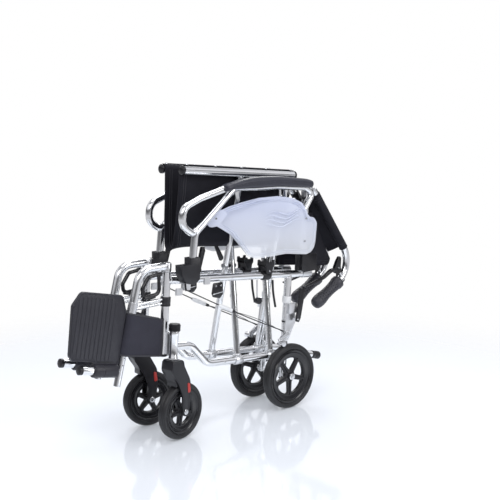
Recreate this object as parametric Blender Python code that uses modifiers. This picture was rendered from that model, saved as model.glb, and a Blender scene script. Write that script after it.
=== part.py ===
"""A transit wheelchair, folded flat: side frames together, seat tubes raised, half back folded down.

Front is -Y, up is +Z, and the sitter's left is +X. The two sides are built by the same functions,
with side = +1 for the left and -1 for the right. Points along the chair are given as the distance
behind the rear axle and the height above the floor. The frame leans back by TILT, so its tubes are
placed along the rails (s) and square to them (h), with the lower rail at h = 0.
"""
import math

import bmesh
import bpy
from mathutils import Matrix, Vector

# Whole chair
AXLE_Y = 0.2252
TILT = math.radians(4.2)
RAIL_X = 0.047
GAP = 0.0004
LOWER_RAIL_Z = 0.1646
SIDES = {"left": 1, "right": -1}

# Side frame
FRAME_R = 0.0110
POST_R = 0.0112
RAIL_RISE = 0.2465
FRONT_POST_S = -0.457
REAR_POST_S = 0.005
RAIL_END_S = 0.0975
KINK_REAR_S = -0.300
KINK_FRONT_S = -0.364
KINK_H = 0.060
POST_LOW_H = 0.039
POST_TOP_H = 0.2700
RAIL_SLEEVE_R = 0.0135
RAIL_SLEEVE_LENGTH = 0.038
BEND_R = 0.045
TIP_TUBE_REACH = 0.158
TIP_TUBE_Z = 0.131

# Wheels
REAR_R = 0.100
REAR_X = 0.0760
REAR_WIDTH = 0.029
REAR_STEPS = 30
CASTOR_STEPS = 25
CASTOR_R = 0.080
CASTOR_X = 0.0820
CASTOR_WIDTH = 0.027
CASTOR_TRAIL = 0.040
CASTOR_S = -0.4480
CASTOR_TURN = {"left": math.radians(10), "right": math.radians(-8)}
TYRE_DEPTH = 0.018
RIM_LIP = 0.0235
HUB_R = 0.0150
SPOKES = 5
SPOKE_WIDTH = 0.015
SPOKE_THICKNESS = 0.012
AXLE_R = 0.0040
AXLE_HEAD_R = 0.0100
HOUSING_R = 0.0130
HOUSING_TOP_H = 0.1140
HOUSING_LOW_H = 0.0345
STEM_R = 0.0060
CROWN_R = 0.0200
FORK_LEG = 0.0050
FORK_CLEARANCE = 0.0020

# Cross braces and seat
SEAT_TUBE_H = 0.5477
SEAT_TUBE_R = 0.0125
SEAT_FRONT_S = -0.4240
SEAT_REAR_S = 0.0050
BAR_R = 0.0095
BAR_S = {"a": (-0.1845, -0.0530), "b": (-0.2086, -0.0222)}
SLEEVE_R = 0.0145
SLEEVE_LENGTH = 0.026
RUNNING_GAP = 0.0007
BOLT_R = 0.0030
BOLT_HEAD_R = 0.0060
BOLT_HEAD = 0.0040
SADDLE_S = -0.0913
SADDLE_RISE = 0.0425
SADDLE_LENGTH = 0.034
SADDLE_JAW = 0.0055
SLING_T = 0.0024
SLING_LENGTH = 0.2000
SLING_ANGLE = math.radians(81.0)

# Armrest
ARM_X = 0.0770
ARM_R = 0.0105
PAD_WIDTH = 0.040
PAD_X = 0.0825
PANEL_T = 0.0030
ARM_PIVOT = (0.060, 0.447)
ARM_SLOT_Z = 0.4315
SOCKET_WALL = 0.0040
PIN_R = 0.0030
ARM_POST_FOOT = (-0.372, 0.4815)

# Back
BACK_S = 0.0600
CANE_R = 0.0115
BACK_FOOT_GAP = 0.0005
HINGE = (0.1090, 0.6680)
HINGE_OFFSET = 0.0118
CANE_FALL = math.radians(53.7)
CANE_LENGTH = 0.2640
HANDLE_TURN = math.radians(96.3)
HANDLE_R = 0.075
GRIP_LENGTH = 0.112
GRIP_R = 0.0145
BRAKE_OFFSET = (0.00201, 0.04222)
BRAKE_WIDTH = 0.0120
BRAKE_EAR = 0.0040
LEVER_DROP_REAR = 0.0285
LEVER_DROP_FRONT = 0.0429
SHOE = (-0.0297, 0.2064)
SHOE_R = 0.0090
FABRIC_T = 0.0025
FABRIC_SLEEVE = 0.0010
BACK_ANGLE = math.radians(78.83)
BACK_REACH = 0.150
TOP_DROP = 0.045

# Leg supports
HANGER_R = 0.0110
HANGER_HEAD_H = POST_TOP_H + 0.0170
PLATE_T = 0.012
PLATE_PITCH = math.radians(10.5)
PLATE_HINGE = (-0.20375, -0.2545)
PLATE_EDGE = [(-0.1160, 0.0360), (-0.1060, 0.0235), (-0.0395, 0.0215), (-0.0380, 0.0100), (0.0300, 0.0100),
              (0.0350, 0.0200), (0.0375, 0.1600), (0.0220, 0.2000), (-0.1035, 0.2020), (-0.1255, 0.1650)]
PLATE_LIMITS = {"left": (0.1300, 0.2100), "right": (0.0560, 0.1780)}
KNUCKLE_R = 0.0190
KNUCKLE_FRONT = 0.0395
KNUCKLE_REAR = 0.0330
STUB_R = 0.0080
STUB_COLLAR_R = 0.0125
HANGER_BEND = (-0.08925, -0.0023)
HANGER_FOOT = (-0.17125, -0.3093)
LATCH_PIVOT = (-0.02725, -0.0203)
EXTENSION_R = 0.0095

collection = bpy.data.collections.new("wheelchair")


def clear_scene():
    """Remove whatever the file held."""
    for obj in list(bpy.data.objects):
        bpy.data.objects.remove(obj, do_unlink=True)
    bpy.context.scene.collection.children.link(collection)


def at(x, y, z):
    """A point from its distance behind the rear axle and its height."""
    return Vector((x, AXLE_Y + y, z))


def framed(x, s, h):
    """A point from its place along the rails and square to them."""
    y = s * math.cos(TILT) + h * math.sin(TILT)
    return at(x, y, LOWER_RAIL_Z - s * math.sin(TILT) + h * math.cos(TILT))


ALONG = Vector((0, math.cos(TILT), -math.sin(TILT)))
SQUARE = Vector((0, math.sin(TILT), math.cos(TILT)))


def material(name, colour, roughness, metallic=0.0, alpha=1.0):
    """A plain Principled material."""
    found = bpy.data.materials.get(name)
    if found:
        return found
    made = bpy.data.materials.new(name)
    made.use_nodes = True
    shader = made.node_tree.nodes["Principled BSDF"]
    shader.inputs["Base Color"].default_value = (*colour, 1)
    shader.inputs["Roughness"].default_value = roughness
    shader.inputs["Metallic"].default_value = metallic
    shader.inputs["Alpha"].default_value = alpha
    return made


def silver():
    return material("anodised_aluminium", (0.80, 0.81, 0.83), 0.25, 1.0)


def black():
    return material("black_plastic", (0.03, 0.03, 0.035), 0.45)


def fabric():
    return material("black_nylon", (0.025, 0.025, 0.035), 0.85)


def rubber():
    return material("dark_rubber", (0.05, 0.05, 0.055), 0.7)


def add(name, bm, look):
    """Turn a bmesh into a named object of the chair."""
    bmesh.ops.recalc_face_normals(bm, faces=bm.faces)
    mesh = bpy.data.meshes.new(name)
    bm.to_mesh(mesh)
    bm.free()
    mesh.materials.append(look)
    mesh.shade_smooth()
    mesh.set_sharp_from_angle(angle=math.radians(35))
    obj = bpy.data.objects.new(name, mesh)
    collection.objects.link(obj)
    return obj


def turn_to(direction):
    """Rotation that takes +Z to a direction."""
    return Vector((0, 0, 1)).rotation_difference(Vector(direction)).to_matrix().to_4x4()


def rod(start, end, radius, sides=12, end_radius=None):
    """A round bar between two points."""
    start = Vector(start)
    end = Vector(end)
    span = end - start
    bm = bmesh.new()
    place = Matrix.Translation((start + end) / 2) @ turn_to(span)
    bmesh.ops.create_cone(bm, cap_ends=True, segments=sides, radius1=radius,
                          radius2=radius if end_radius is None else end_radius,
                          depth=span.length, matrix=place)
    return add("rod", bm, silver())


def block(low, high):
    """A box from its lowest and highest corners."""
    low = Vector(low)
    high = Vector(high)
    bm = bmesh.new()
    size = high - low
    place = Matrix.Translation((low + high) / 2) @ Matrix.Diagonal((*size, 1))
    bmesh.ops.create_cube(bm, size=1, matrix=place)
    return add("block", bm, silver())


def oriented_block(centre, axes, size):
    """A box about a centre, with its edges along three axes."""
    bm = bmesh.new()
    turn = Matrix([Vector(axis) for axis in axes]).transposed().to_4x4()
    place = Matrix.Translation(centre) @ turn @ Matrix.Diagonal((*size, 1))
    bmesh.ops.create_cube(bm, size=1, matrix=place)
    return add("block", bm, silver())


def solid_from(guide, place, name):
    """The evaluated mesh of a guide object, welded and placed. The guide is removed."""
    graph = bpy.context.evaluated_depsgraph_get()
    mesh = bpy.data.meshes.new_from_object(guide.evaluated_get(graph))
    bm = bmesh.new()
    bm.from_mesh(mesh)
    bmesh.ops.remove_doubles(bm, verts=bm.verts, dist=0.00001)
    bmesh.ops.transform(bm, matrix=place, verts=bm.verts)
    bpy.data.objects.remove(guide, do_unlink=True)
    bpy.data.meshes.remove(mesh)
    return add(name, bm, silver())


def poly_curve(points, dimensions, cyclic):
    """A curve object through points, with straight spans."""
    curve = bpy.data.curves.new("guide", 'CURVE')
    curve.dimensions = dimensions
    spline = curve.splines.new('POLY')
    spline.points.add(len(points) - 1)
    for point, place in zip(spline.points, points):
        point.co = (*place, 1)
    spline.use_cyclic_u = cyclic
    guide = bpy.data.objects.new("guide", curve)
    collection.objects.link(guide)
    return guide


def prism(outline, thickness, place):
    """A flat outline in the XY plane, thickened along Z about the plane, then placed."""
    guide = poly_curve([(x, y, 0) for x, y in outline], '2D', True)
    guide.data.fill_mode = 'BOTH'
    guide.data.extrude = thickness / 2
    return solid_from(guide, place, "prism")


def side_plane(x):
    """Place for an outline drawn as (distance behind the axle, height) at one x."""
    turn = Matrix(((0, 0, 1), (1, 0, 0), (0, 1, 0))).to_4x4()
    return Matrix.Translation((x, AXLE_Y, 0)) @ turn


def rounded(points, radius, steps=4):
    """The points of a line with its corners rounded by arcs."""
    points = [Vector(p) for p in points]
    smooth = [points[0]]
    for before, corner, after in zip(points, points[1:], points[2:]):
        back = (before - corner).normalized()
        ahead = (after - corner).normalized()
        half = back.angle(ahead) / 2
        reach = min(radius / math.tan(half), 0.49 * (before - corner).length,
                    0.49 * (after - corner).length)
        true_radius = reach * math.tan(half)
        centre = corner + (back + ahead).normalized() * (true_radius / math.sin(half))
        first = corner + back * reach - centre
        last = corner + ahead * reach - centre
        sweep = first.angle(last)
        axis = first.cross(last)
        for step in range(steps + 1):
            turn = Matrix.Rotation(sweep * step / steps, 3, axis)
            smooth.append(centre + turn @ first)
    smooth.append(points[-1])
    return smooth


def tube(points, radius, bend=0.0, steps=4, resolution=4):
    """A round tube along a line, as a mesh."""
    path = rounded(points, bend, steps) if bend else [Vector(p) for p in points]
    guide = poly_curve(path, '3D', False)
    guide.data.bevel_depth = radius
    guide.data.bevel_resolution = resolution
    guide.data.use_fill_caps = True
    return solid_from(guide, Matrix.Identity(4), "tube")


def turned(profile, place, steps=24):
    """A turned solid about its own Z axis, from (radius, height) points, run top to bottom."""
    count = len(profile)
    edges = [(i, i + 1) for i in range(count - 1)]
    if profile[0][0] > 0:
        edges.append((count - 1, 0))
    mesh = bpy.data.meshes.new("profile")
    mesh.from_pydata([(r, 0, z) for r, z in profile], edges, [])
    guide = bpy.data.objects.new("profile", mesh)
    collection.objects.link(guide)
    screw = guide.modifiers.new("turn", 'SCREW')
    screw.steps = steps
    screw.render_steps = steps
    screw.use_merge_vertices = True
    screw.merge_threshold = 0.00002
    return solid_from(guide, place, "turned")


def combine(target, others, operation):
    """Join or cut a solid by others, which are then removed."""
    for other in others:
        change = target.modifiers.new(operation.lower(), 'BOOLEAN')
        change.operation = operation
        change.solver = 'EXACT'
        change.object = other
    graph = bpy.context.evaluated_depsgraph_get()
    mesh = bpy.data.meshes.new_from_object(target.evaluated_get(graph))
    target.modifiers.clear()
    target.data = mesh
    for other in others:
        bpy.data.objects.remove(other, do_unlink=True)
    bm = bmesh.new()
    bm.from_mesh(mesh)
    bmesh.ops.remove_doubles(bm, verts=bm.verts, dist=0.00002)
    bmesh.ops.dissolve_degenerate(bm, edges=bm.edges, dist=0.00002)
    bm.to_mesh(mesh)
    bm.free()
    return target


def union(*pieces):
    return combine(pieces[0], pieces[1:], 'UNION')


def cut(target, *cutters):
    return combine(target, cutters, 'DIFFERENCE')


def node(name, obj, look):
    """Name a finished piece and give it its material."""
    obj.name = name
    obj.data.name = name
    obj.data.materials.clear()
    obj.data.materials.append(look)
    obj.data.shade_smooth()
    obj.data.set_sharp_from_angle(angle=math.radians(35))
    return obj


def move_origin(obj, point):
    """Put a piece's origin on its joint's axis without moving the piece."""
    obj.data.transform(Matrix.Translation(-Vector(point)))
    obj.location = point


def side_frame(side):
    x = side * RAIL_X
    rail = tube([framed(x, FRONT_POST_S, RAIL_RISE), framed(x, RAIL_END_S - 0.001, RAIL_RISE)], FRAME_R)
    sleeve = rod(framed(x, RAIL_END_S - RAIL_SLEEVE_LENGTH, RAIL_RISE), framed(x, RAIL_END_S, RAIL_RISE),
                 RAIL_SLEEVE_R)
    lower = tube([framed(x, REAR_POST_S + 0.003, 0), framed(x, KINK_REAR_S, 0),
                  framed(x, KINK_FRONT_S, KINK_H), framed(x, FRONT_POST_S - 0.002, KINK_H)], FRAME_R, BEND_R)
    front_post = tube([framed(x, FRONT_POST_S, POST_LOW_H), framed(x, FRONT_POST_S, POST_TOP_H)], POST_R)
    axle = at(x, 0, REAR_R)
    rear_post = tube([axle - SQUARE * 0.014, framed(x, REAR_POST_S, RAIL_RISE + 0.001)], POST_R)
    boss = rod(axle, at(side * (REAR_X - REAR_WIDTH / 2 - 0.0012), 0, REAR_R), 0.0105)
    tip = tube([framed(x, REAR_POST_S - 0.003, -0.0005), at(x, 0.070, 0.155), at(x, TIP_TUBE_REACH, TIP_TUBE_Z)],
               FRAME_R - 0.0002, BEND_R)
    housing_x = side * CASTOR_X
    housing = rod(framed(housing_x, CASTOR_S, HOUSING_LOW_H), framed(housing_x, CASTOR_S, HOUSING_TOP_H),
                  HOUSING_R, 16)
    web_centre = framed(side * (RAIL_X + CASTOR_X) / 2, CASTOR_S - 0.002, (HOUSING_LOW_H + HOUSING_TOP_H) / 2)
    web = oriented_block(web_centre, ((1, 0, 0), ALONG, SQUARE), (CASTOR_X - RAIL_X, 0.009, 0.060))
    frame = union(rail, sleeve, lower, front_post, rear_post, boss, tip, housing, web)
    bore = rod(framed(housing_x, CASTOR_S, HOUSING_LOW_H - 0.01), framed(housing_x, CASTOR_S, HOUSING_LOW_H + 0.052),
               STEM_R + GAP)
    return cut(frame, bore)


def wheel_place(centre, outward):
    """Place for a turned wheel whose own +Z is its axle."""
    return Matrix.Translation(centre) @ turn_to(outward)


def tyre(radius, width, place, steps):
    half = width / 2
    inner = radius - TYRE_DEPTH
    profile = [(inner, half * 0.62), (radius - 0.010, half), (radius - 0.0035, half * 0.80), (radius, half * 0.32),
               (radius, -half * 0.32), (radius - 0.0035, -half * 0.80), (radius - 0.010, -half),
               (inner, -half * 0.62)]
    return turned(profile, place, steps)


def rim(radius, width, place, steps):
    """Hub, spokes and ring under a tyre of the given size."""
    outer = radius - TYRE_DEPTH - GAP
    inner = outer - RIM_LIP
    half = width * 0.31
    ring = turned([(outer, half), (outer, -half), (inner, -half), (inner, half)], place, steps)
    hub_half = width / 2 - 0.001
    hub = rod(place @ Vector((0, 0, -hub_half)), place @ Vector((0, 0, hub_half)), HUB_R, 20)
    arms = []
    for index in range(SPOKES):
        turn = place @ Matrix.Rotation(2 * math.pi * index / SPOKES, 4, 'Z')
        mid = (HUB_R + inner) / 2
        length = inner - HUB_R + 0.010
        outline = [(mid - length / 2, -SPOKE_WIDTH * 0.62), (mid + length / 2, -SPOKE_WIDTH * 0.5),
                   (mid + length / 2, SPOKE_WIDTH * 0.5), (mid - length / 2, SPOKE_WIDTH * 0.62)]
        arms.append(prism(outline, SPOKE_THICKNESS, turn))
    wheel = union(ring, hub, *arms)
    bore = rod(place @ Vector((0, 0, -width)), place @ Vector((0, 0, width)), AXLE_R + GAP)
    return cut(wheel, bore)


def rear_wheel(name, side):
    centre = at(side * REAR_X, 0, REAR_R)
    place = wheel_place(centre, (side, 0, 0))
    tread = node("rear_tyre_" + name, tyre(REAR_R, REAR_WIDTH, place, REAR_STEPS), rubber())
    hub = node("rear_rim_" + name, rim(REAR_R, REAR_WIDTH, place, REAR_STEPS), black())
    half = REAR_WIDTH / 2
    start = -(half + 0.0012 - GAP)
    profile = [(0, half + 0.0060), (AXLE_HEAD_R * 0.8, half + 0.0060), (AXLE_HEAD_R, half + 0.0040),
               (AXLE_HEAD_R, half - 0.001 + GAP), (AXLE_R, half - 0.001 + GAP), (AXLE_R, start), (0, start)]
    axle = node("rear_axle_" + name, turned(profile, place, 12), silver())
    for piece in (tread, hub, axle):
        move_origin(piece, centre)


def castor(name, side):
    stem = framed(side * CASTOR_X, CASTOR_S, HOUSING_LOW_H)
    drop = (stem.z - CASTOR_R - CASTOR_TRAIL * math.sin(TILT)) / math.cos(TILT)
    turn = Matrix.Translation(stem) @ Matrix.Rotation(CASTOR_TURN[name], 4, SQUARE) @ Matrix.Translation(-stem)
    centre = turn @ (stem + ALONG * CASTOR_TRAIL - SQUARE * drop)
    outward = turn.to_3x3() @ Vector((side, 0, 0))
    place = wheel_place(centre, outward)
    tread = node("castor_tyre_" + name, tyre(CASTOR_R, CASTOR_WIDTH, place, CASTOR_STEPS), rubber())
    hub = node("castor_rim_" + name, rim(CASTOR_R, CASTOR_WIDTH, place, CASTOR_STEPS), black())
    inner = CASTOR_WIDTH / 2 + FORK_CLEARANCE
    outer = inner + FORK_LEG
    top = -0.0006
    reach = CASTOR_TRAIL
    outline = [(-CROWN_R, top), (CROWN_R, top), (CROWN_R + 0.006, -0.026), (reach + 0.022, -drop + 0.050),
               (reach + 0.018, -drop + 0.006), (reach + 0.008, -drop - 0.013), (reach - 0.008, -drop - 0.013),
               (reach - 0.018, -drop + 0.008), (-0.004, -0.062), (-CROWN_R - 0.003, -0.026)]
    flat = Matrix([(0, 0, 1), (ALONG.y, SQUARE.y, 0), (ALONG.z, SQUARE.z, 0)]).to_4x4()
    fork_place = turn @ Matrix.Translation(stem) @ flat
    body = prism(outline, 2 * outer, fork_place)
    gap_low = stem + ALONG * CASTOR_TRAIL - SQUARE * drop
    slot = rod(turn @ (gap_low - Vector((inner, 0, 0))), turn @ (gap_low + Vector((inner, 0, 0))),
               CASTOR_R + 0.004, 24)
    body = cut(body, slot)
    post = rod(turn @ (stem - SQUARE * 0.012), turn @ (stem + SQUARE * 0.046), STEM_R)
    pin = turned([(0, outer + 0.004), (0.0075, outer + 0.004), (0.0075, outer - 0.001), (AXLE_R, outer - 0.001),
                  (AXLE_R, -outer + 0.001), (0.0075, -outer + 0.001), (0.0075, -outer - 0.004),
                  (0, -outer - 0.004)], place, 12)
    fork = node("castor_fork_" + name, union(body, post, pin), black())
    for piece in (tread, hub):
        move_origin(piece, centre)
    move_origin(fork, stem)


def brace(letter, side):
    """A seat tube with the two bars that carry it, down to the lower rail on the other side."""
    top_x = side * RAIL_X
    low_x = -side * RAIL_X
    seat = tube([framed(top_x, SEAT_FRONT_S, SEAT_TUBE_H), framed(top_x, SEAT_REAR_S, SEAT_TUBE_H)], SEAT_TUBE_R)
    parts = [seat]
    bores = []
    for s in BAR_S[letter]:
        parts.append(rod(framed(low_x, s, 0), framed(top_x, s, SEAT_TUBE_H), BAR_R))
        parts.append(rod(framed(low_x, s - SLEEVE_LENGTH / 2, 0), framed(low_x, s + SLEEVE_LENGTH / 2, 0),
                         SLEEVE_R))
        bores.append(rod(framed(low_x, s - SLEEVE_LENGTH, 0), framed(low_x, s + SLEEVE_LENGTH, 0),
                         FRAME_R + RUNNING_GAP))
        if letter == "b":
            bores.append(rod(framed(0, s - 0.012, SEAT_TUBE_H / 2), framed(0, s + 0.012, SEAT_TUBE_H / 2),
                             BOLT_R + GAP))
    return cut(union(*parts), *bores)


def brace_bolt(s_a, s_b):
    """The bolt, spacer and nut that pin one bar of each brace at mid height."""
    toward = 1 if s_a > s_b else -1
    low, high = sorted((s_a, s_b))
    spacer = (high - low) / 2 - BAR_R - GAP
    middle = (high + low) / 2
    outer = (high - low) / 2 + BAR_R + GAP
    profile = [(0, outer + BOLT_HEAD), (BOLT_HEAD_R, outer + BOLT_HEAD), (BOLT_HEAD_R, outer), (BOLT_R, outer),
               (BOLT_R, spacer), (BOLT_HEAD_R, spacer), (BOLT_HEAD_R, -spacer), (BOLT_R, -spacer),
               (BOLT_R, -outer), (BOLT_HEAD_R, -outer), (BOLT_HEAD_R, -outer - BOLT_HEAD),
               (0, -outer - BOLT_HEAD)]
    place = Matrix.Translation(framed(0, middle, SEAT_TUBE_H / 2)) @ turn_to(ALONG * toward)
    return turned(profile, place, 12)


def braces():
    bolts = [brace_bolt(s_a, s_b) for s_a, s_b in zip(BAR_S["a"], BAR_S["b"])]
    node("brace_a", union(brace("a", -1), *bolts), silver())
    node("brace_b", brace("b", 1), silver())


def saddle(side):
    """Cradle on the upper rail that holds the seat tube when the chair is open."""
    x = side * RAIL_X
    front = SADDLE_S - SADDLE_LENGTH / 2
    rear = SADDLE_S + SADDLE_LENGTH / 2
    collar = rod(framed(x, front, RAIL_RISE), framed(x, rear, RAIL_RISE), FRAME_R + 0.0035, 16)
    low = RAIL_RISE
    high = RAIL_RISE + SADDLE_RISE + SADDLE_JAW
    centre = framed(x, SADDLE_S, (low + high) / 2)
    jaws = oriented_block(centre, ((1, 0, 0), ALONG, SQUARE), (2 * (SEAT_TUBE_R + 0.0045), SADDLE_LENGTH, high - low))
    body = union(collar, jaws)
    seat = rod(framed(x, front - 0.01, RAIL_RISE + SADDLE_RISE), framed(x, rear + 0.01, RAIL_RISE + SADDLE_RISE),
               SEAT_TUBE_R + RUNNING_GAP, 16)
    lead = oriented_block(framed(x, SADDLE_S, RAIL_RISE + SADDLE_RISE + 0.02), ((1, 0, 0), ALONG, SQUARE),
                          (2 * SEAT_TUBE_R + 0.001, 2 * SADDLE_LENGTH, 0.04))
    bore = rod(framed(x, front - 0.01, RAIL_RISE), framed(x, rear + 0.01, RAIL_RISE), FRAME_R + RUNNING_GAP)
    return cut(body, seat, lead, bore)


def sling(side):
    """Half of the seat sling, hanging from the inner face of its seat tube."""
    offset = SEAT_TUBE_R + GAP + SLING_T / 2
    along = Vector((-side * math.cos(SLING_ANGLE), 0, 0)) - SQUARE * math.sin(SLING_ANGLE)
    normal = Vector((-side * math.sin(SLING_ANGLE), 0, 0)) + SQUARE * math.cos(SLING_ANGLE)
    pivot = framed(side * RAIL_X, (SEAT_FRONT_S + SEAT_REAR_S) / 2, SEAT_TUBE_H)
    centre = pivot + normal * offset + along * (SLING_LENGTH / 2)
    size = (SLING_LENGTH, SEAT_REAR_S - SEAT_FRONT_S - 0.012, SLING_T)
    piece = oriented_block(centre, (along, ALONG, normal), size)
    return piece, pivot


ARM_LOOP = [(0.060, 0.447), (0.0535, 0.600), (0.094, 0.658), (0.060, 0.676), (-0.060, 0.685), (-0.141, 0.6845),
            (-0.240, 0.690), (-0.344, 0.664), (-0.401, 0.642), (-0.406, 0.594), (-0.372, 0.571),
            (-0.358, 0.578)]
ARM_BRACE = [ARM_POST_FOOT, (-0.3615, 0.570), (-0.224, 0.6835)]
PAD_OUTLINE = [(-0.262, 0.6860), (-0.262, 0.6940), (-0.235, 0.7035), (-0.190, 0.7120), (-0.141, 0.7160),
               (-0.060, 0.7140), (0.040, 0.7040), (0.082, 0.6960), (0.090, 0.6860), (0.088, 0.6720),
               (0.040, 0.6760), (-0.050, 0.6830), (-0.141, 0.6830), (-0.220, 0.6840)]
PANEL_OUTLINE = [(-0.306, 0.590), (-0.248, 0.638), (-0.200, 0.648), (-0.143, 0.656), (-0.070, 0.657),
                 (-0.008, 0.648), (0.030, 0.632), (0.048, 0.612), (0.058, 0.588), (0.082, 0.584),
                 (0.095, 0.567), (0.089, 0.512), (0.083, 0.492), (0.070, 0.479), (0.050, 0.474), (-0.036, 0.484),
                 (-0.115, 0.479), (-0.165, 0.474), (-0.190, 0.480), (-0.213, 0.512), (-0.240, 0.542)]


def armrest(name, side):
    x = side * ARM_X
    loop = tube([at(x, y, z) for y, z in ARM_LOOP], ARM_R, 0.035, 2)
    strut = tube([at(x, y, z) for y, z in ARM_BRACE], ARM_R - 0.0002, 0.03, 3)
    eye = rod(at(x - 0.0105, *ARM_PIVOT), at(x + 0.0105, *ARM_PIVOT), ARM_R, 16)
    bore = rod(at(x - 0.02, *ARM_PIVOT), at(x + 0.02, *ARM_PIVOT), PIN_R + GAP)
    frame = cut(union(loop, strut, eye), bore)
    pad = prism(PAD_OUTLINE, PAD_WIDTH, side_plane(side * PAD_X))
    edge = pad.modifiers.new("edge", 'BEVEL')
    edge.width = 0.004
    edge.segments = 2
    edge.limit_method = 'ANGLE'
    edge.angle_limit = math.radians(60)
    groove = tube([at(x, y, z) for y, z in ARM_LOOP], ARM_R + GAP + 0.0002, 0.035, 2)
    second = tube([at(x, y, z) for y, z in ARM_BRACE], ARM_R + GAP, 0.03, 3)
    pad = cut(pad, groove, second)
    panel = prism(PANEL_OUTLINE, PANEL_T, side_plane(side * (ARM_X - ARM_R - GAP - PANEL_T / 2)))
    node("armrest_frame_" + name, frame, silver())
    node("armrest_pad_" + name, pad, material("dark_foam", (0.05, 0.055, 0.075), 0.6))
    clear = material("frosted_panel", (0.80, 0.84, 0.92), 0.35, 0.0, 0.8)
    node("side_panel_" + name, panel, clear)
    for key in ("armrest_frame_", "armrest_pad_", "side_panel_"):
        move_origin(bpy.data.objects[key + name], at(x, *ARM_PIVOT))


def armrest_mounts(name, side):
    """Front seat for the arm's post and rear clevis for its pivot, both on the upper rail."""
    inner = side * (RAIL_X + CANE_R + FABRIC_SLEEVE + 2 * GAP)
    outer = side * (ARM_X + ARM_R + GAP + SOCKET_WALL)
    low, high = sorted((inner + side * 0.001, outer))
    front_outline = [(-0.418, 0.463), (-0.404, 0.437), (-0.374, 0.430), (-0.356, 0.444), (-0.3545, 0.505),
                     (-0.387, 0.505), (-0.387, 0.487), (-0.418, 0.487)]
    front = prism(front_outline, high - low, side_plane((low + high) / 2))
    half = ARM_R + GAP
    foot_y, foot_z = ARM_POST_FOOT
    front = cut(front, block(at(side * ARM_X - half, foot_y - half - 0.0005, foot_z - 0.0022),
                             at(side * ARM_X + half, foot_y + 0.0140, foot_z + 0.05)))
    rear_outline = [(0.036, 0.424), (0.046, 0.418), (0.100, 0.420), (0.102, 0.472), (0.040, 0.474)]
    low, high = sorted((inner, outer))
    rear = prism(rear_outline, high - low, side_plane((low + high) / 2))
    slot_in = side * (ARM_X - ARM_R - 0.0037)
    slot_out = side * (ARM_X + ARM_R + GAP)
    low, high = sorted((slot_in, slot_out))
    rear = cut(rear, block(at(low, 0.0480, ARM_SLOT_Z), at(high, 0.2, 0.6)),
               block(at(low, 0.0830, 0.40), at(high, 0.2, 0.6)))
    pin = rod(at(inner + side * 0.0008, *ARM_PIVOT), at(outer - side * 0.0008, *ARM_PIVOT), PIN_R)
    node("armrest_socket_" + name, front, black())
    node("armrest_bracket_" + name, union(rear, pin), black())


def armrest_latch(side):
    x = side * ARM_X
    pivot = (-0.3490, 0.4680)
    outline = [(-0.3520, 0.472), (-0.3460, 0.466), (-0.3410, 0.482), (-0.3290, 0.520), (-0.3310, 0.530),
               (-0.3400, 0.530), (-0.3500, 0.490)]
    barrel = rod(at(x - 0.005, *pivot), at(x + 0.005, *pivot), 0.0060, 16)
    return union(prism(outline, 0.010, side_plane(x)), barrel), at(x, *pivot)


def cane_axes():
    """Start, direction and outward normal of the folded upper cane, in (y, z)."""
    fall = Vector((math.cos(CANE_FALL), -math.sin(CANE_FALL)))
    normal = Vector((math.sin(CANE_FALL), math.cos(CANE_FALL)))
    start = Vector(HINGE) + normal * HINGE_OFFSET
    return start, fall, normal


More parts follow.
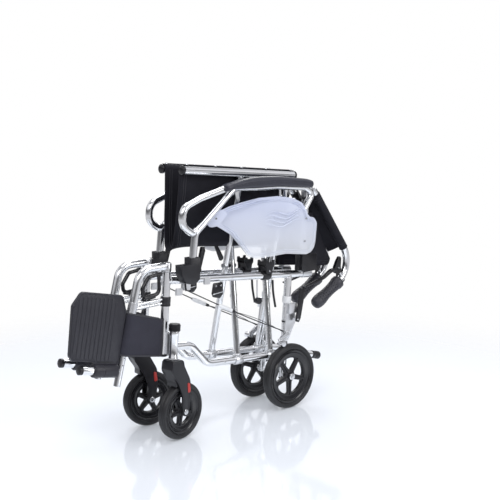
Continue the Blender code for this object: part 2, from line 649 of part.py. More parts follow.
def back(name, side):
    x = side * RAIL_X
    start, fall, normal = cane_axes()
    foot = RAIL_RISE + RAIL_SLEEVE_R + BACK_FOOT_GAP
    top = framed(x, BACK_S, (HINGE[1] - LOWER_RAIL_Z) - 0.022)
    post = tube([framed(x, BACK_S, foot), top], CANE_R)
    cheeks = []
    post_y = top.y - AXLE_Y
    cheek_outline = [(post_y - 0.009, HINGE[1] - 0.034), (post_y + 0.009, HINGE[1] - 0.034),
                     (HINGE[0] + 0.008, HINGE[1] - 0.004), (HINGE[0] + 0.006, HINGE[1] + 0.007),
                     (HINGE[0] - 0.006, HINGE[1] + 0.007), (post_y - 0.009, HINGE[1] - 0.006)]
    for offset in (-0.0085, 0.0085):
        cheeks.append(prism(cheek_outline, 0.0035, side_plane(x + offset)))
    pin = rod(at(x - 0.0095, *HINGE), at(x + 0.0095, *HINGE), PIN_R)
    node("back_post_" + name, union(post, *cheeks, pin), silver())
    lever = start + fall * 0.030
    knuckle_outline = [(HINGE[0] - 0.006, HINGE[1] - 0.002), (HINGE[0] - 0.002, HINGE[1] - 0.007),
                       (HINGE[0] + 0.007, HINGE[1] - 0.004), tuple(lever - normal * 0.008),
                       tuple(lever + normal * 0.008), tuple(start + fall * 0.012 + normal * 0.004),
                       (HINGE[0] - 0.002, HINGE[1] + 0.007)]
    knuckle = prism(knuckle_outline, 2 * (0.0085 - 0.00175 - GAP), side_plane(x))
    far = start + fall * (CANE_LENGTH + HANDLE_R)
    aim = Matrix.Rotation(-HANDLE_TURN, 2) @ fall
    handle = far + aim * (0.084 + GRIP_LENGTH)
    cane = tube([at(x, *(start + fall * 0.016)), at(x, *far), at(x, *handle)], CANE_R, HANDLE_R, 6)
    cane = union(cane, knuckle)
    cane = cut(cane, rod(at(x - 0.02, *HINGE), at(x + 0.02, *HINGE), PIN_R + GAP))
    node("back_cane_" + name, cane, silver())
    root = handle - aim * (GRIP_LENGTH - 0.004)
    grip_place = Matrix.Translation(at(x, *root)) @ turn_to(Vector((0, *aim)))
    bore = CANE_R + GAP
    length = GRIP_LENGTH + 0.002
    profile = [(0, length + 0.004), (0.010, length + 0.003), (0.0155, length - 0.004), (0.0160, length - 0.014),
               (0.0138, length - 0.040), (GRIP_R, 0.040), (GRIP_R, 0.012), (0.0165, 0.008), (0.0165, 0),
               (bore, 0), (bore, length - 0.0055), (0, length - 0.0055)]
    grip = union(turned(profile, grip_place, 16), brake_clamp(x, root, aim))
    node("push_grip_" + name, grip, rubber())
    for key in ("back_cane_", "push_grip_"):
        move_origin(bpy.data.objects[key + name], at(x, *HINGE))
    return start, fall, normal, root, aim


def rail_height(y):
    """Height of the upper rail's centre line at a distance behind the rear axle."""
    return framed(0, (y - RAIL_RISE * math.sin(TILT)) / math.cos(TILT), RAIL_RISE).z


def above_grip(aim):
    """Direction square to the grip, on its upper side, in (y, z)."""
    up = Vector((-aim[1], aim[0]))
    return up if up[1] > 0 else -up


def brake_clamp(x, root, aim):
    """Clamp of the hand brake, at the root of the grip, with the ear that carries the lever."""
    up = above_grip(aim)
    centre = root - aim * 0.005
    bore = CANE_R + 0.0014
    ring = turned([(0.0165, 0.0055), (0.0165, -0.0055), (bore, -0.0055), (bore, 0.0055)],
                  Matrix.Translation(at(x, *centre)) @ turn_to(Vector((0, *aim))), 16)
    pivot = root + Vector(BRAKE_OFFSET)
    outline = [centre - aim * 0.005 + up * 0.0140, centre + aim * 0.005 + up * 0.0140,
               pivot + aim * 0.005 + up * 0.001, pivot - aim * 0.005 + up * 0.004, pivot - aim * 0.007 - up * 0.004]
    ear = prism([tuple(p) for p in outline], BRAKE_EAR, side_plane(x))
    pin = rod(at(x - BRAKE_WIDTH / 2, *pivot), at(x + BRAKE_WIDTH / 2, *pivot), 0.0025)
    return union(ring, ear, pin)


def hand_brake(name, side, root, aim):
    """Attendant's brake lever, forked round the clamp's ear."""
    x = side * RAIL_X
    up = above_grip(aim)
    pivot = root + Vector(BRAKE_OFFSET)
    path = [pivot + Vector(p) for p in ((0.002, 0.043), (0.0015, 0.003), (-0.032, 0.005), (-0.069, -0.015))]
    for ahead, drop in ((0.105, LEVER_DROP_REAR), (0.151, LEVER_DROP_FRONT)):
        path.append(Vector((pivot.x - ahead, rail_height(pivot.x - ahead) - drop)))
    thick = (0.0030, 0.0055, 0.0060, 0.0045, 0.0040, 0.0030)
    upper = [p + up * w for p, w in zip(path[1:], thick[1:])]
    lower = [p - up * w for p, w in zip(path[1:], thick[1:])]
    tail = [path[0] - Vector((0.0035, 0)), path[0] + Vector((0.0035, 0))]
    knuckle = [pivot - aim * 0.008 + up * 0.004, pivot - aim * 0.008 - up * 0.004]
    outline = tail + knuckle + lower + list(reversed(upper[1:])) + [pivot + Vector((-0.006, 0.010))]
    blade = prism([tuple(p) for p in outline], BRAKE_WIDTH, side_plane(x))
    half = BRAKE_EAR / 2 + GAP
    slot = rod(at(x - half, *pivot), at(x + half, *pivot), 0.0125, 20)
    hole = rod(at(x - 0.02, *pivot), at(x + 0.02, *pivot), 0.0025 + GAP)
    move_origin(node("brake_lever_" + name, cut(blade, slot, hole), black()), at(x, *pivot))


def back_fabric(name, side, start, fall, normal):
    """Lower panel beside its post and upper trough under its cane, each half of a fold."""
    x = side * RAIL_X
    sweep = Vector((-side * math.cos(BACK_ANGLE), 0, 0)) + ALONG * math.sin(BACK_ANGLE)
    across = Vector((math.sin(BACK_ANGLE), 0, 0)) + ALONG * (side * math.cos(BACK_ANGLE))
    skin = CANE_R + GAP
    low = RAIL_RISE + RAIL_SLEEVE_R + 0.004
    outline = [(skin, low), (BACK_REACH, low), (BACK_REACH, low + 0.020), (skin + 0.012, 0.432), (skin, 0.432)]
    turn = Matrix((sweep, SQUARE, across)).transposed().to_4x4()
    place = Matrix.Translation(framed(x, BACK_S, 0)) @ turn
    panel = prism(outline, FABRIC_T, place)
    sleeve = rod(framed(x, BACK_S, low), framed(x, BACK_S, 0.432), skin + FABRIC_SLEEVE)
    hole = rod(framed(x, BACK_S, low - 0.01), framed(x, BACK_S, 0.442), skin)
    panel = cut(union(sleeve, panel), hole)
    node("back_panel_" + name, panel, fabric())
    top_start = start + fall * 0.034
    top_end = start + fall * (CANE_LENGTH - 0.010)
    sleeve = rod(at(x, *top_start), at(x, *top_end), skin + FABRIC_SLEEVE)
    hole = rod(at(x, *(top_start - fall * 0.01)), at(x, *(top_end + fall * 0.01)), skin)
    length = (top_end - top_start).length
    inward = Vector((-side * (RAIL_X - 0.001), *(-normal * TOP_DROP)))
    reach = inward.length
    inward.normalize()
    run = Vector((0, *fall))
    square = inward.cross(run)
    middle = (top_start + top_end) / 2
    centre = at(x, *middle) + inward * ((skin + reach) / 2)
    flap = oriented_block(centre, (inward, run, square), (reach - skin, length, FABRIC_T))
    node("back_top_" + name, cut(union(sleeve, flap), hole), fabric())
    move_origin(bpy.data.objects["back_panel_" + name], framed(x, BACK_S, low))
    move_origin(bpy.data.objects["back_top_" + name], at(x, *top_start))


def parking_brake(name, side):
    """Clamp on the rear post, push lever and shoe arm above the tyre."""
    near = RAIL_X + POST_R + GAP
    low, high = sorted((side * near, side * (near + 0.014)))
    clamp = block(at(low, 0.004, 0.292), at(high, 0.036, 0.322))
    plate_low, plate_high = sorted((side * near, side * (near + 0.004)))
    outline = [(0.004, 0.300), (0.036, 0.300), (0.040, 0.262), (0.012, 0.212), (-0.006, 0.218), (-0.002, 0.260)]
    plate = prism(outline, plate_high - plate_low, side_plane((plate_low + plate_high) / 2))
    pivot = (0.034, 0.272)
    shoe_pivot = (0.008, 0.232)
    pin_end = near + 0.0215
    pin = rod(at(side * (near + 0.002), *pivot), at(side * pin_end, *pivot), PIN_R)
    shoe_pin = rod(at(side * (near + 0.002), *shoe_pivot), at(side * (near + 0.0118), *shoe_pivot), PIN_R)
    node("parking_bracket_" + name, union(clamp, plate, pin, shoe_pin), silver())
    arm = [(pivot[0] - 0.008, pivot[1] - 0.006), (pivot[0] + 0.004, pivot[1] - 0.010),
           (pivot[0] + 0.012, pivot[1] + 0.002), (0.064, 0.352), (0.058, 0.366), (0.044, 0.366)]
    lever_x = side * (near + 0.0185)
    lever = prism(arm, 0.0055, side_plane(lever_x))
    lever = cut(lever, rod(at(lever_x - 0.02, *pivot), at(lever_x + 0.02, *pivot), PIN_R + GAP))
    move_origin(node("parking_lever_" + name, lever, black()), at(lever_x, *pivot))
    shoe_x = side * (near + 0.0075)
    shoe = [(0.014, 0.236), (0.004, 0.240), (-0.036, 0.216), (-0.034, 0.204), (0.012, 0.226)]
    shoe_plate = prism(shoe, 0.0055, side_plane(shoe_x))
    boss = rod(at(side * (near + 0.0048), *SHOE), at(side * (REAR_X + 0.010), *SHOE), SHOE_R, 14)
    shoe_plate = union(shoe_plate, boss)
    shoe_plate = cut(shoe_plate, rod(at(shoe_x - 0.02, *shoe_pivot), at(shoe_x + 0.02, *shoe_pivot), PIN_R + GAP))
    move_origin(node("brake_shoe_" + name, shoe_plate, silver()), at(shoe_x, *shoe_pivot))


def brake_cable(side):
    x = side * (RAIL_X + FRAME_R + 0.0030)
    front = at(x, -0.381, 0.4125)
    rear = at(x, -0.0072, 0.2376)
    span = (rear - front).normalized()
    wire = rod(front + span * 0.002, rear, 0.0016, 8)
    start = front + (rear - front) * 0.44
    barrel = rod(start, start + span * 0.046, 0.0042, 10)
    anchor = rod(front - Vector((0, 0, 0.002)), at(x, -0.384, 0.4308), 0.0030, 8)
    return union(barrel, wire, anchor)


def hung(offset):
    """A point (y, z) given from the hanger's head, over the front post."""
    head = framed(0, FRONT_POST_S, HANGER_HEAD_H)
    return Vector((head.y - AXLE_Y + offset[0], head.z + offset[1]))


def extension_line(distance):
    """A point down the hanger's slanted tube, measured from its bend."""
    top = hung(HANGER_BEND)
    foot = hung(HANGER_FOOT)
    return top + (foot - top).normalized() * distance


def plate_axes():
    """Directions along the footplate's hinge and up its plate, in (y, z)."""
    pitch = Vector((math.cos(PLATE_PITCH), -math.sin(PLATE_PITCH)))
    rise = Vector((math.sin(PLATE_PITCH), math.cos(PLATE_PITCH)))
    return pitch, rise


def hanger(name, side):
    """Swing-away tube hooked over the front post, with the footplate's axle at its foot."""
    x = side * RAIL_X
    head = framed(x, FRONT_POST_S, HANGER_HEAD_H)
    upper = tube([head, at(x, *extension_line(0)), at(x, *extension_line(0.190))], HANGER_R, 0.045, 4)
    knob = rod(framed(x, FRONT_POST_S, POST_TOP_H + 0.0006), framed(x, FRONT_POST_S, HANGER_HEAD_H + 0.0105), 0.0124)
    collar = rod(framed(x, FRONT_POST_S, HANGER_HEAD_H - 0.1100), framed(x, FRONT_POST_S, HANGER_HEAD_H - 0.0845),
                 POST_R + 0.0030, 16)
    bar = rod(framed(x, FRONT_POST_S - 0.004, HANGER_HEAD_H - 0.0970), at(x, *extension_line(0.0950)), 0.0060)
    tab = oriented_block(at(x, *hung((LATCH_PIVOT[0], LATCH_PIVOT[1] + 0.0144))), ((1, 0, 0), (0, 1, 0), (0, 0, 1)),
                         (0.009, 0.012, 0.016))
    body = union(upper, knob, collar, bar, tab)
    body = cut(body, rod(framed(x, FRONT_POST_S, HANGER_HEAD_H - 0.127), framed(x, FRONT_POST_S, HANGER_HEAD_H - 0.067),
                         POST_R + RUNNING_GAP))
    pitch, rise = plate_axes()
    hinge = hung(PLATE_HINGE)
    inner = rod(at(x, *extension_line(0.180)), at(x, *extension_line(0.3175)), EXTENSION_R)
    end = KNUCKLE_FRONT + GAP
    stub = rod(at(x, *(hinge + pitch * (KNUCKLE_REAR + 0.012))), at(x, *(hinge - pitch * (end + 0.010))), STUB_R)
    collar = rod(at(x, *(hinge - pitch * end)), at(x, *(hinge - pitch * (end + 0.032))), STUB_COLLAR_R)
    cap = rod(at(x, *(hinge - pitch * (end + 0.031))), at(x, *(hinge - pitch * (end + 0.0415))), STUB_COLLAR_R - 0.0007)
    body = union(body, inner, stub, collar, cap)
    move_origin(node("hanger_" + name, body, silver()), framed(x, FRONT_POST_S, 0))


def footplate(name, side):
    """Plate folded up on a knuckle that turns on the hanger's axle."""
    x = side * RAIL_X
    pitch, rise = plate_axes()
    hinge = hung(PLATE_HINGE)
    reach, height = PLATE_LIMITS[name]
    outline = [tuple(hinge + pitch * max(a, -reach) + rise * min(b, height)) for a, b in PLATE_EDGE]
    plate = prism(outline, PLATE_T, side_plane(x))
    knuckle = rod(at(x, *(hinge - pitch * KNUCKLE_FRONT)), at(x, *(hinge + pitch * KNUCKLE_REAR)), KNUCKLE_R, 20)
    bore = rod(at(x, *(hinge - pitch * 0.06)), at(x, *(hinge + pitch * 0.06)), STUB_R + GAP)
    body = cut(union(knuckle, plate), bore)
    look = material("dark_plastic", (0.06, 0.065, 0.075), 0.5)
    move_origin(node("footplate_" + name, body, look), at(x, *hinge))


def hanger_latch(name, side):
    """Release lever under the hanger's bend."""
    x = side * RAIL_X
    pivot = hung(LATCH_PIVOT)
    ring = ((0, 0.0010), (0, -0.0535), (-0.0530, -0.0575), (-0.0550, -0.0330))
    points = [at(x, *(pivot + Vector(p))) for p in ring]
    barrel = rod(at(x, *(pivot - Vector((0.007, 0)))), at(x, *(pivot + Vector((0.007, 0)))), 0.0060, 14)
    lever = union(barrel, tube(points, 0.0045, 0.014, 3, 2))
    move_origin(node("hanger_latch_" + name, lever, black()), at(x, *pivot))


def calf_strap(name, side):
    """Padded band round the hanger's slanted tube."""
    x = side * RAIL_X
    top = extension_line(0.118)
    foot = extension_line(0.228)
    axis = (foot - top).normalized()
    rear = Vector((-axis[1], axis[0]))
    if rear[0] < 0:
        rear = -rear
    hold = HANGER_R + 0.0008
    rear_top = tuple(hung((-0.02375, -0.1443)))
    rear_foot = tuple(hung((-0.03045, -0.2443)))
    outline = [tuple(top - rear * (hold + 0.0016)), tuple(foot - rear * (hold + 0.0016)), rear_foot, rear_top]
    shell = prism(outline, 2 * (hold + 0.0040), side_plane(x))
    inner_top = top - rear * hold - axis * 0.02
    inner_foot = foot - rear * hold + axis * 0.02
    hollow = prism([tuple(inner_top), tuple(inner_foot), (rear_foot[0] - 0.006, rear_foot[1] - 0.02),
                    (rear_top[0] - 0.003, rear_top[1] + 0.04)], 2 * hold, side_plane(x))
    move_origin(node("calf_strap_" + name, cut(shell, hollow), fabric()), at(x, *top))


def build():
    clear_scene()
    braces()
    for name, side in SIDES.items():
        node("side_frame_" + name, side_frame(side), silver())
        rear_wheel(name, side)
        castor(name, side)
        node("seat_saddle_" + name, saddle(side), black())
        leaf, pivot = sling(side)
        move_origin(node("seat_sling_" + name, leaf, fabric()), pivot)
        armrest(name, side)
        armrest_mounts(name, side)
        lever, pivot = armrest_latch(side)
        move_origin(node("armrest_latch_" + name, lever, black()), pivot)
        start, fall, normal, root, aim = back(name, side)
        hand_brake(name, side, root, aim)
        back_fabric(name, side, start, fall, normal)
        parking_brake(name, side)
        node("brake_cable_" + name, brake_cable(side), black())
        hanger(name, side)
        footplate(name, side)
        hanger_latch(name, side)
        calf_strap(name, side)


build()
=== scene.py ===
"""Looks of the folded transit wheelchair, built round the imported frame.

Front is -Y, up is +Z and the sitter's left is +X. Both sides are made by the same functions, with
sd = +1 on the left and -1 on the right. Points are given as in the frame: a distance behind the rear
axle and a height, or a place along the leaning rails (s) and square to them (h).
"""
from math import acos, asin, copysign, cos, exp, pi, radians, sin, tan

import bmesh
import bpy
from mathutils import Matrix, Vector, noise


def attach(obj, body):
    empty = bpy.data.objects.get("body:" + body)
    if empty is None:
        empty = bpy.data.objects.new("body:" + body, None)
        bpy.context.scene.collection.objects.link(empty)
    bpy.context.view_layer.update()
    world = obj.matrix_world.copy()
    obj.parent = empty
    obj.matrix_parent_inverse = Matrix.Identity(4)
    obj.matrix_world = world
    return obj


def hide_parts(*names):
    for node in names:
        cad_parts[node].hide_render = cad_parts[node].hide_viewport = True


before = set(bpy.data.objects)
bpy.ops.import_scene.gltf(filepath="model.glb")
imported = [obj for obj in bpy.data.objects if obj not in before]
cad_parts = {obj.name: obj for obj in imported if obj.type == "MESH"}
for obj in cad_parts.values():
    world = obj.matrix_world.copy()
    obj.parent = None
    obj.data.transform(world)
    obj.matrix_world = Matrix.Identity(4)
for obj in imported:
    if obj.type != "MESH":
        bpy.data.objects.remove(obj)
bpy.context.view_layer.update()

# Whole chair
AXLE_Y = 0.2252
TILT = radians(4.2)
RAIL_X = 0.047
LOWER_RAIL_Z = 0.1646
SIDES = {"left": 1, "right": -1}
ALONG = Vector((0, cos(TILT), -sin(TILT)))
SQUARE = Vector((0, sin(TILT), cos(TILT)))
ACROSS = Vector((1, 0, 0))
RAILS = (ACROSS, ALONG, SQUARE)
UPRIGHT = (ACROSS, Vector((0, 1, 0)), Vector((0, 0, 1)))
RAIL_PLANE = Matrix([(0, 0, 1), (ALONG.y, SQUARE.y, 0), (ALONG.z, SQUARE.z, 0)]).to_4x4()

# Side frame
FRAME_R = 0.011
POST_R = 0.0112
RAIL_RISE = 0.2465
FRONT_POST_S = -0.457
REAR_POST_S = 0.005
SADDLE_S = -0.0913
RAIL_END_S = 0.0975
KINK_REAR_S = -0.3
KINK_FRONT_S = -0.364
KINK_H = 0.06
POST_LOW_H = 0.039
POST_TOP_H = 0.27
BEND_R = 0.045
TIP_TUBE_REACH = 0.158
TIP_TUBE_Z = 0.131

# Wheels
REAR_R = 0.1
REAR_X = 0.076
REAR_WIDTH = 0.029
CASTOR_R = 0.08
CASTOR_X = 0.082
CASTOR_WIDTH = 0.027
CASTOR_TRAIL = 0.04
CASTOR_S = -0.448
CASTOR_TURN = {"left": radians(10), "right": radians(-8)}
TYRE_DEPTH = 0.018
SPOKES = 5
TYRE_FACETS = 64
WHEEL_STEPS = 96
HOUSING_R = 0.013
HOUSING_TOP_H = 0.114
HOUSING_LOW_H = 0.0345
WEB_H = 0.074
WEB_HEIGHT = 0.06
CROWN_R = 0.02
FORK_LEG = 0.0055
FORK_CLEARANCE = 0.0018

# Cross braces and seat
SEAT_TUBE_H = 0.5477
SEAT_TUBE_R = 0.0125
SEAT_FRONT_S = -0.424
SEAT_REAR_S = 0.005
BAR_R = 0.0095
BAR_S = {"a": (-0.1845, -0.053), "b": (-0.2086, -0.0222)}
SLEEVE_R = 0.0145
SLEEVE_LENGTH = 0.026
SEAT_DROP = 0.212
CLOTH_FRONT_S = -0.418
CLOTH_LENGTH = 0.417
CLOTH_T = 0.0018
FOLD_R = 0.02

# Armrest
ARM_X = 0.077
ARM_R = 0.0105
PAD_X = 0.0825
PAD_WIDTH = 0.042
PAD_STEPS = 60
PANEL_T = 0.003
ARM_PIVOT = (0.06, 0.447)
ARM_LOOP = [(0.06, 0.447), (0.0535, 0.6), (0.094, 0.658), (0.06, 0.676), (-0.06, 0.685), (-0.141, 0.6845),
            (-0.24, 0.69), (-0.344, 0.664), (-0.401, 0.642), (-0.406, 0.594), (-0.372, 0.571),
            (-0.358, 0.578)]
ARM_BRACE = [(-0.372, 0.4815), (-0.3615, 0.57), (-0.224, 0.6835)]
PAD_TOP = [(-0.262, 0.6955), (-0.252, 0.7005), (-0.235, 0.7035), (-0.19, 0.712), (-0.141, 0.716),
           (-0.06, 0.714), (0.04, 0.704), (0.066, 0.6995), (0.079, 0.695)]
PAD_LOW = [(-0.262, 0.679), (-0.252, 0.68), (-0.235, 0.6838), (-0.19, 0.6836), (-0.141, 0.683),
           (-0.06, 0.683), (0.04, 0.676), (0.066, 0.674), (0.079, 0.675)]
PANEL_OUTLINE = [(-0.318, 0.606), (-0.248, 0.638), (-0.2, 0.648), (-0.143, 0.656), (-0.07, 0.657),
                 (-0.008, 0.648), (0.03, 0.632), (0.048, 0.612), (0.058, 0.588), (0.082, 0.584),
                 (0.095, 0.567), (0.089, 0.512), (0.083, 0.492), (0.07, 0.479), (0.05, 0.474),
                 (-0.036, 0.484), (-0.115, 0.481), (-0.158, 0.482), (-0.184, 0.49), (-0.213, 0.524),
                 (-0.245, 0.558)]

# Back
BACK_S = 0.06
CANE_R = 0.0115
HINGE = (0.109, 0.668)
HINGE_OFFSET = 0.0118
CANE_FALL = radians(53.7)
CANE_LENGTH = 0.264
HANDLE_TURN = radians(96.3)
HANDLE_R = 0.075
GRIP_LENGTH = 0.112
GRIP_RINGS = 9
GRIP_BUMPS = 14
RING_PITCH = 0.0095
BRAKE_PIVOT = (0.245, 0.4)
LEVER_STEPS = 32
LEAF_REACH = 0.176
TOP_DROP = 0.045
TOP_START = 0.034
TOP_LENGTH = 0.22
POST_FOOT_H = 0.2608

# Leg supports
HANGER_R = 0.011
HANGER_HEAD_H = 0.287
EXTENSION_R = 0.0095
PLATE_T = 0.012
PLATE_PITCH = radians(10.5)
PLATE_HINGE = (-0.6385, 0.2298)
PLATE_EDGE = [(-0.116, 0.036), (-0.106, 0.0235), (-0.0395, 0.0215), (-0.038, 0.01), (0.03, 0.01),
              (0.035, 0.02), (0.0375, 0.16), (0.022, 0.2), (-0.1035, 0.202), (-0.1255, 0.165)]
PLATE_LIMITS = {"left": (0.13, 0.21), "right": (0.056, 0.178)}
KNUCKLE_R = 0.019
KNUCKLE_FRONT = 0.0395
KNUCKLE_REAR = 0.033
STUB_R = 0.008
SOCKET_END = 0.19
EXTENSION_END = 0.312
STRAP_T = 0.0034

# Camera
CAMERA_AZIMUTH = radians(48.44)
CAMERA_HEIGHT = radians(8.2)
CAMERA_DISTANCE = 2.704
CAMERA_TARGET = Vector((0, AXLE_Y - 0.092, 0.49))
LENS = 64.8
SENSOR = 36.0


def at(x, y, z):
    """A point from its distance behind the rear axle and its height."""
    return Vector((x, AXLE_Y + y, z))


def framed(x, s, h):
    """A point from its place along the rails and square to them."""
    y = s * cos(TILT) + h * sin(TILT)
    return at(x, y, LOWER_RAIL_Z - s * sin(TILT) + h * cos(TILT))


def side_plane(x):
    """Place for an outline drawn as (distance behind the axle, height) at one x."""
    turn = Matrix(((0, 0, 1), (1, 0, 0), (0, 1, 0))).to_4x4()
    return Matrix.Translation((x, AXLE_Y, 0)) @ turn


def turn_to(direction):
    """Rotation that takes +Z to a direction."""
    return Vector((0, 0, 1)).rotation_difference(Vector(direction)).to_matrix().to_4x4()


def axle_place(centre, direction):
    """Place of a turned form whose own +Z lies along a direction."""
    return Matrix.Translation(Vector(centre)) @ turn_to(direction)


def corner_arc(before, corner, after, radius, steps):
    """The points of the arc that rounds one corner."""
    back = (before - corner).normalized()
    ahead = (after - corner).normalized()
    half = back.angle(ahead) / 2
    if half > pi / 2 - 0.01:
        return [corner]
    reach = min(radius / tan(half), 0.49 * (before - corner).length, 0.49 * (after - corner).length)
    centre = corner + (back + ahead).normalized() * (reach * tan(half) / sin(half))
    first = corner + back * reach - centre
    last = corner + ahead * reach - centre
    turn = first.cross(last)
    sweep = first.angle(last)
    return [centre + Matrix.Rotation(sweep * i / steps, 3, turn) @ first for i in range(steps + 1)]


def lifted(place, distance):
    """A place moved along its own Z axis."""
    return place @ Matrix.Translation((0, 0, distance))


def rounded(points, radius, steps):
    """An open line with its corners rounded."""
    points = [Vector(p) for p in points]
    smooth = [points[0]]
    for before, corner, after in zip(points, points[1:], points[2:]):
        smooth += corner_arc(before, corner, after, radius, steps)
    return smooth + [points[-1]]


def rounded_loop(points, radius, steps=5):
    """A closed flat outline with its corners rounded. The radius may be one for each corner."""
    points = [Vector((p[0], p[1], 0)) for p in points]
    count = len(points)
    radii = [radius] * count if isinstance(radius, float) else radius
    smooth = []
    for i, corner in enumerate(points):
        smooth += corner_arc(points[i - 1], corner, points[(i + 1) % count], radii[i], steps)
    return [(p.x, p.y) for p in smooth]


def inset(outline, distance):
    """A closed flat outline moved inwards."""
    count = len(outline)
    area = sum(outline[i - 1][0] * outline[i][1] - outline[i][0] * outline[i - 1][1] for i in range(count))
    sign = 1 if area > 0 else -1
    moved = []
    for i, (x, y) in enumerate(outline):
        span = Vector(outline[(i + 1) % count]) - Vector(outline[i - 1])
        normal = Vector((-span.y, span.x)).normalized() * sign
        moved.append((x + normal.x * distance, y + normal.y * distance))
    return moved


def curve_through(points, count):
    """Evenly numbered points on a smooth line through a few."""
    points = [Vector(p) for p in points]
    ends = [2 * points[0] - points[1]] + points + [2 * points[-1] - points[-2]]
    spans = len(points) - 1
    line = []
    for index in range(count):
        place = index * spans / (count - 1)
        span = min(int(place), spans - 1)
        t = place - span
        a, b, c, d = ends[span:span + 4]
        line.append(0.5
                    * (2 * b + (c - a) * t + (2 * a - 5 * b + 4 * c - d) * t * t
                       + (3 * b - a - 3 * c + d) * t ** 3))
    return line


def skin(part, rings, closed=False):
    """Faces between rings of equally many points, and over both ends unless the rings close."""
    following = rings[1:] + rings[:1] if closed else rings[1:]
    for first, second in zip(rings, following):
        for j in range(len(first)):
            k = (j + 1) % len(first)
            part.faces.new((first[j], first[k], second[k], second[j]))
    if not closed:
        part.faces.new(list(reversed(rings[0])))
        part.faces.new(rings[-1])


def circle(radius, count=60):
    """Points of a circle, or of a hexagon where the count is 6."""
    turns = [2 * pi * i / count for i in range(count)]
    return [(radius * cos(a), radius * sin(a)) for a in turns]


def squarish(value, power):
    """A sine or cosine that makes a round section squarer."""
    return copysign(abs(value) ** power, value)


def mirrored(profile):
    """A profile and its mirror image, from its first height to the opposite one."""
    return profile + [(radius, -height) for radius, height in reversed(profile)]


def placed(name, data):
    """A new object in the scene."""
    made = bpy.data.objects.new(name, data)
    bpy.context.scene.collection.objects.link(made)
    return made


